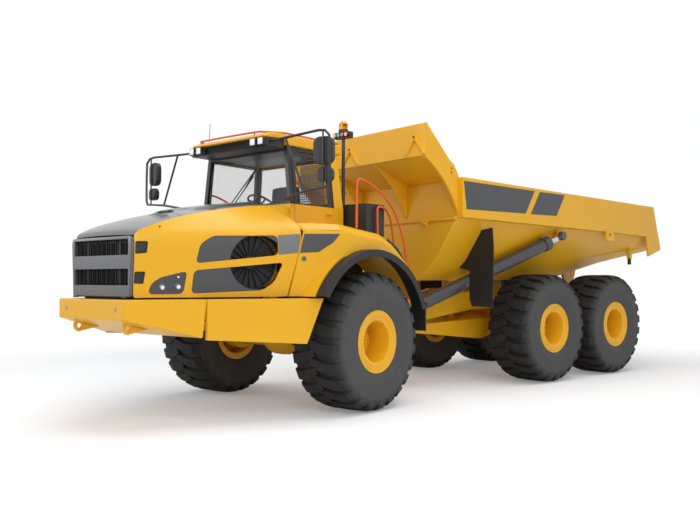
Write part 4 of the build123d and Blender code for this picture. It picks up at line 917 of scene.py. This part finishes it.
# Fasteners: stepped round covers, bolt heads and the small bolts along the body's flange
CAP_Y, CAP_Z = -3.600, 1.948
bm = bmesh.new()
for radius, height in ((0.030, 0.015), (0.018, 0.021)):
    disc(bm, (fender_x(CAP_Y), CAP_Y, CAP_Z), (0.92, -0.39, 0), radius, height)
mirrored(bm)
finished("fender_caps", bm, DARK_GREY, CAB)
bm = bmesh.new()
studs(bm, [(x, -5.634, 1.368) for x in (-0.485, 0.485)], (0, -1, 0), 0.019, 0.014, 16)
finished("bumper_bolts", bm, ZINC, CAB)
bm = bmesh.new()
studs(bm, [(1.602, -0.513, z) for z in (3.330, 3.273)], (1, 0, 0), 0.013, 0.014)
studs(bm, [(x, -1.092, 3.745) for x in (-1.4, 0, 1.4)], (0, -1, 0), 0.020, 0.026)
mirrored(bm)
finished("body_bolts", bm, BLACK_PAINT_AND_CAB_SHADE, "dump_body")

# Cab fittings: white lamps in the visor, wipers, aerial, screen behind the seat
bm = bmesh.new()
for lamp_x in (0.530, 0.671):
    box(bm, (lamp_x - 0.043, -3.671, 3.405), (lamp_x + 0.043, -3.662, 3.487), 0.004)
mirrored(bm)
finished("visor_lenses", bm, LENS, CAB)
bm = bmesh.new()
WIPER_TUBES = [
    # foot, tip and radius of the two arms, the blade and the shaft
    ((-0.270, -3.335, 2.700), (0.205, -3.308, 3.150), 0.008),
    ((-0.200, -3.335, 2.695), (0.182, -3.308, 3.075), 0.008),
    ((0.020, -3.304, 2.930), (0.245, -3.300, 3.200), 0.012),
    ((-0.270, -3.335, 2.700), (-0.180, -3.335, 2.690), 0.016),
]
for foot, tip, radius in WIPER_TUBES:
    tube(bm, [foot, tip], radius)
finished("wipers", bm, BLACK_PAINT_AND_CAB_SHADE, CAB)
bm = bmesh.new()
tube(bm, [(-0.740, -3.300, 3.560), (-0.740, -3.300, 3.585), (-0.725, -3.290, 3.900)], 0.004)
disc(bm, (-0.740, -3.300, 3.572), (0, 0, 1), 0.018, 0.020)
finished("aerial", bm, BLACK_PLASTIC, CAB)
SCREEN_X, SCREEN_Z = 0.115, 2.700
SCREEN_PITCH = 0.036
SCREEN_BAR = 0.012
bm = bmesh.new()
for step in range(18):
    z = SCREEN_Z + step * SCREEN_PITCH
    box(bm, (SCREEN_X, -2.318, z), (0.560, -2.314, z + SCREEN_BAR))
for step in range(13):
    x = SCREEN_X + step * SCREEN_PITCH
    box(bm, (x, -2.319, SCREEN_Z), (x + SCREEN_BAR, -2.313, 3.325))
finished("rear_screen", bm, PALE_GREY, CAB)

# Beacon and its small lamps
MAST = (0.620, -1.960)
BEACON_RADIUS = 0.062
MAST_LAMPS = [
    # name, steps to the left of the mast, lens
    ("outer_left", 1.5, AMBER), ("inner_left", 0.5, RED), ("inner_right", -0.5, GREEN),
    ("outer_right", -1.5, AMBER),
]
MAST_LAMP_PITCH = 0.070
bm = bmesh.new()
ops.create_uvsphere(bm, u_segments=32, v_segments=16, radius=BEACON_RADIUS,
                    matrix=Matrix.Translation((*MAST, 3.921)))
disc(bm, (*MAST, 3.885), (0, 0, 1), BEACON_RADIUS, 0.072, 32)
finished("beacon_dome", bm, AMBER, CAB)
for name, step, finish in MAST_LAMPS:
    bm = bmesh.new()
    disc(bm, (MAST[0] + MAST_LAMP_PITCH * step, MAST[1] - 0.077, 3.765), (0, 1, 0), 0.028, 0.012)
    rounded(bm, 0.004, 3)
    finished(f"mast_lamp_{name}", bm, finish, CAB)

# Mirrors: bent tube frames and turned heads with rounded corners
MIRROR_FRAME = [
    (0.747, -3.560, 3.450), (1.600, -3.600, 3.474), (1.700, -3.600, 3.462), (1.765, -3.600, 3.400),
    (1.775, -3.600, 3.200), (1.775, -3.600, 2.860), (1.750, -3.600, 2.795), (1.363, -3.600, 2.761),
    (1.010, -3.570, 2.700), (0.925, -3.270, 2.700), (0.858, -3.270, 2.700),
]
MIRROR_HEADS = [
    # x, z, width, height, corner radius
    (1.640, 3.235, 0.262, 0.330, 0.085), (1.668, 2.945, 0.200, 0.172, 0.060),
]
MIRROR_Y = -3.545
MIRROR_TURN = 14
bm = bmesh.new()
tube(bm, MIRROR_FRAME, 0.016)
tube(bm, [(1.051, -3.600, 3.455), (1.363, -3.600, 2.761)], 0.014)
tube(bm, [(1.668, -3.600, 3.466), (1.668, -3.600, 2.786)], 0.011)
mirrored(bm)
finished("mirror_frames", bm, BLACK_PAINT_AND_CAB_SHADE, CAB, ["mirrors"])
for part, finish, inset, front_y, rear_y in (("shells", BLACK_PLASTIC, 0, -0.045, 0.040),
                                             ("glasses", CHROME, 0.012, 0.039, 0.043)):
    bm = bmesh.new()
    for x, z, width, height, corner in MIRROR_HEADS:
        made = ops.create_cube(bm, size=1, matrix=Matrix.Diagonal(
            (width - 2 * inset, rear_y - front_y, height - 2 * inset, 1)))
        edges = {e for v in made["verts"] for e in v.link_edges}
        along = [e for e in edges if abs(e.verts[0].co.y - e.verts[1].co.y) > 0.002]
        head = bevelled(bm, along, corner - inset, 6)
        verts = list(set(head["verts"]) | {v for v in made["verts"] if v.is_valid})
        place = (Matrix.Translation((x, MIRROR_Y, z)) @ Matrix.Rotation(radians(MIRROR_TURN), 4, "Z")
                 @ Matrix.Translation((0, (front_y + rear_y) / 2, 0)))
        ops.transform(bm, matrix=place, verts=verts)
    if part == "shells":
        rounded(bm, 0.014, 3, 60)
    mirrored(bm)
    finished(f"mirror_{part}", bm, finish, CAB)

# Seat, dash and steering wheel
def cushion(name, low, high, face):
    """A crowned seat pad whose sides pull in between its corners; face is the axis it is sat on."""
    bm = bmesh.new()
    box(bm, low, high)
    ops.subdivide_edges(bm, edges=bm.edges[:], cuts=7, use_grid_fill=True)
    middle = [(a + b) / 2 for a, b in zip(low, high)]
    half = [(b - a) / 2 for a, b in zip(low, high)]
    for vert in bm.verts:
        place = [(c - m) / h for c, m, h in zip(vert.co, middle, half)]
        for axis in range(3):
            others = [1 - place[i] ** 2 for i in range(3) if i != axis]
            swell = 0.86 + 0.14 * others[0] * others[1] if axis == face else 0.93 + 0.07 * max(others)
            vert.co[axis] = middle[axis] + half[axis] * place[axis] * swell
    ops.smooth_vert(bm, verts=bm.verts, factor=0.5, use_axis_x=True, use_axis_y=True, use_axis_z=True)
    pad = finished(name, bm, VINYL, CAB)


cushion("seat_cushion", (-0.250, -2.960, 2.400), (0.250, -2.500, 2.500), 2)
cushion("seat_back", (-0.240, -2.560, 2.500), (0.240, -2.440, 3.020), 1)
bm = bmesh.new()
box(bm, (-0.170, -2.880, 2.051), (0.170, -2.560, 2.398), 0.02)
box(bm, (-0.620, -3.239, 2.051), (0.620, -3.090, 2.600), 0.03, 3)
tube(bm, [(0, -3.110, 2.540), (0, -2.985, 2.740)], 0.035)

# The steering wheel's rim is spun about the origin, far from the rest, and then set in place
STEERING_RADIUS = 0.200
SPOKE_REACH = 0.195
WHEEL_TILT = Matrix.Translation((0, -2.985, 2.745)) @ Matrix.Rotation(radians(-32), 4, "X")
section = Matrix.Translation((STEERING_RADIUS, 0, 0)) @ Matrix.Rotation(pi / 2, 4, "X")
ring = ops.create_circle(bm, segments=12, radius=0.014, matrix=section)["verts"]
ops.spin(bm, geom=ring + list({e for v in ring for e in v.link_edges}), cent=(0, 0, 0),
         axis=(0, 0, 1), angle=2 * pi, steps=36, use_merge=True)
ops.transform(bm, matrix=WHEEL_TILT, verts=[v for v in bm.verts if v.co.z < 0.1])
for turn in (90, 210, 330):
    tip = WHEEL_TILT @ Vector((SPOKE_REACH * cos(radians(turn)), SPOKE_REACH * sin(radians(turn)), 0))
    tube(bm, [tuple(WHEEL_TILT.translation), tuple(tip)], 0.013)
finished("cab_controls", bm, BLACK_PLASTIC, CAB, ["cab_interior"])


HOIST_EYE = (1.620, 2.310, 2.450)
FITTING_REACH = 0.30


def rod_paint(face):
    """Dark enamel on a rod's end fitting, plated steel on the rest."""
    x, y, z = face.calc_center_median()
    return 0 if (Vector((abs(x), y, z)) - Vector(HOIST_EYE)).length < FITTING_REACH else 1


for name in ("hoist_rod_left", "hoist_rod_right"):
    dressed(name, [CYLINDER, CHROME], name, 0.006, paint=rod_paint)

NODE_FINISHES = [
    # finish, nodes that keep the CAD's mesh
    (CORE_BLACK, ["cooling_pack"]),
    (BLACK_PAINT_AND_CAB_SHADE, ["beacon_mast"]),
    (SMOKED, ["headlamps"]),
    (IRON, ["engine_block"]),
    (GLASS, ["cab_windows", "door_window"]),
    (CYLINDER, ["hoist_barrel_left", "hoist_barrel_right", "steer_barrel_left", "steer_barrel_right"]),
    (CHROME, ["steer_rod_left", "steer_rod_right"]),
]
for finish, names in NODE_FINISHES:
    for name in names:
        nodes[name].data.materials.clear()
        nodes[name].data.materials.append(finish)

# The floor fades into the white background well away from the machine
FLOOR_GLOW = 1.6
FLOOR_GLOW_SHARE = 0.12
FLOOR_FADE_M = (6.5, 10.5)
FLOOR_COLOUR = (0.955, 0.972, 1.0, 1)
WHITE = (1, 1, 1, 1)
floor_mesh = bpy.data.meshes.new("floor")
bm = bmesh.new()
ops.create_grid(bm, x_segments=1, y_segments=1, size=120)
bm.to_mesh(floor_mesh)
bm.free()
floor = added("floor", floor_mesh)
white = bpy.data.materials.new("studio_floor")
tree = emptied(white)
matt = add_node(tree, "BsdfDiffuse", {"Color": FLOOR_COLOUR})
glow = add_node(tree, "Emission", {"Color": WHITE, "Strength": FLOOR_GLOW})
rays = add_node(tree, "LightPath")
share = add_node(tree, "Math", {"operation": "MULTIPLY", 1: FLOOR_GLOW_SHARE},
                 {0: rays.outputs["Is Camera Ray"]})
lit = add_node(tree, "MixShader", {}, {0: share.outputs[0], 1: matt.outputs[0], 2: glow.outputs[0]})
place = add_node(tree, "TexCoord").outputs["Object"]
far = add_node(tree, "VectorMath", {"operation": "LENGTH"}, {0: place})
fade = add_node(tree, "MapRange", {
    "From Min": FLOOR_FADE_M[0], "From Max": FLOOR_FADE_M[1], "interpolation_type": "SMOOTHSTEP",
}, {"Value": far.outputs["Value"]})
clear = add_node(tree, "BsdfTransparent")
mixed = add_node(tree, "MixShader", {}, {
    0: fade.outputs["Result"], 1: lit.outputs[0], 2: clear.outputs[0],
})
add_node(tree, "OutputMaterial", {}, {"Surface": mixed.outputs[0]})
floor_mesh.materials.append(white)

# The world lights the machine softly; the camera, reflections and glass see it as pure white
SKY_STRENGTH = 0.45
world = bpy.data.worlds.new("studio")
bpy.context.scene.world = world
tree = emptied(world)
rays = add_node(tree, "LightPath")
seen = rays.outputs["Is Camera Ray"]
for kind in ("Is Glossy Ray", "Is Transmission Ray"):
    either = add_node(tree, "Math", {"operation": "MAXIMUM"}, {0: seen, 1: rays.outputs[kind]})
    seen = either.outputs[0]
strength = add_node(tree, "MapRange", {"To Min": SKY_STRENGTH, "To Max": 1.0}, {"Value": seen})
back = add_node(tree, "Background", {"Color": WHITE}, {"Strength": strength.outputs[0]})
add_node(tree, "OutputWorld", {}, {"Surface": back.outputs[0]})


def lamp(name, place, target, size, power):
    """A soft square lamp that points at a place."""
    light = bpy.data.lights.new(name, "AREA")
    light.size = size
    light.energy = power
    aim = (Vector(target) - Vector(place)).to_track_quat("-Z", "Y")
    added(name, light).matrix_world = Matrix.Translation(place) @ aim.to_matrix().to_4x4()


lamp("top_softbox", (2, -1, 13), (0, 0, 1), 12, 1000)
lamp("key_softbox", (12, -9, 8), (0, -1, 1.5), 8, 700)
lamp("front_softbox", (-6, -14, 6), (0, -4, 1.5), 7, 420)

# The camera stands where the photograph was taken from
CAMERA_PLACE = (8.7567, -9.0196, 1.6806)
AZIMUTH, ELEVATION, ROLL = radians(49.118), radians(-1.118), radians(0.059)
optics = bpy.data.cameras.new("camera")
camera = added("camera", optics)
bpy.context.scene.camera = camera
optics.sensor_width = 36
optics.lens = 39.444
optics.shift_x = 0.01102
optics.shift_y = 0.00502
optics.clip_end = 500
back_axis = Vector((sin(AZIMUTH) * cos(ELEVATION), -cos(AZIMUTH) * cos(ELEVATION), sin(ELEVATION)))
right_axis = Vector((cos(AZIMUTH), sin(AZIMUTH), 0))
up_axis = back_axis.cross(right_axis)
turn = Matrix((right_axis, up_axis, back_axis)).transposed().to_4x4()
camera.matrix_world = Matrix.Translation(CAMERA_PLACE) @ turn @ Matrix.Rotation(ROLL, 4, "Z")

bpy.context.scene.view_settings.view_transform = "Standard"
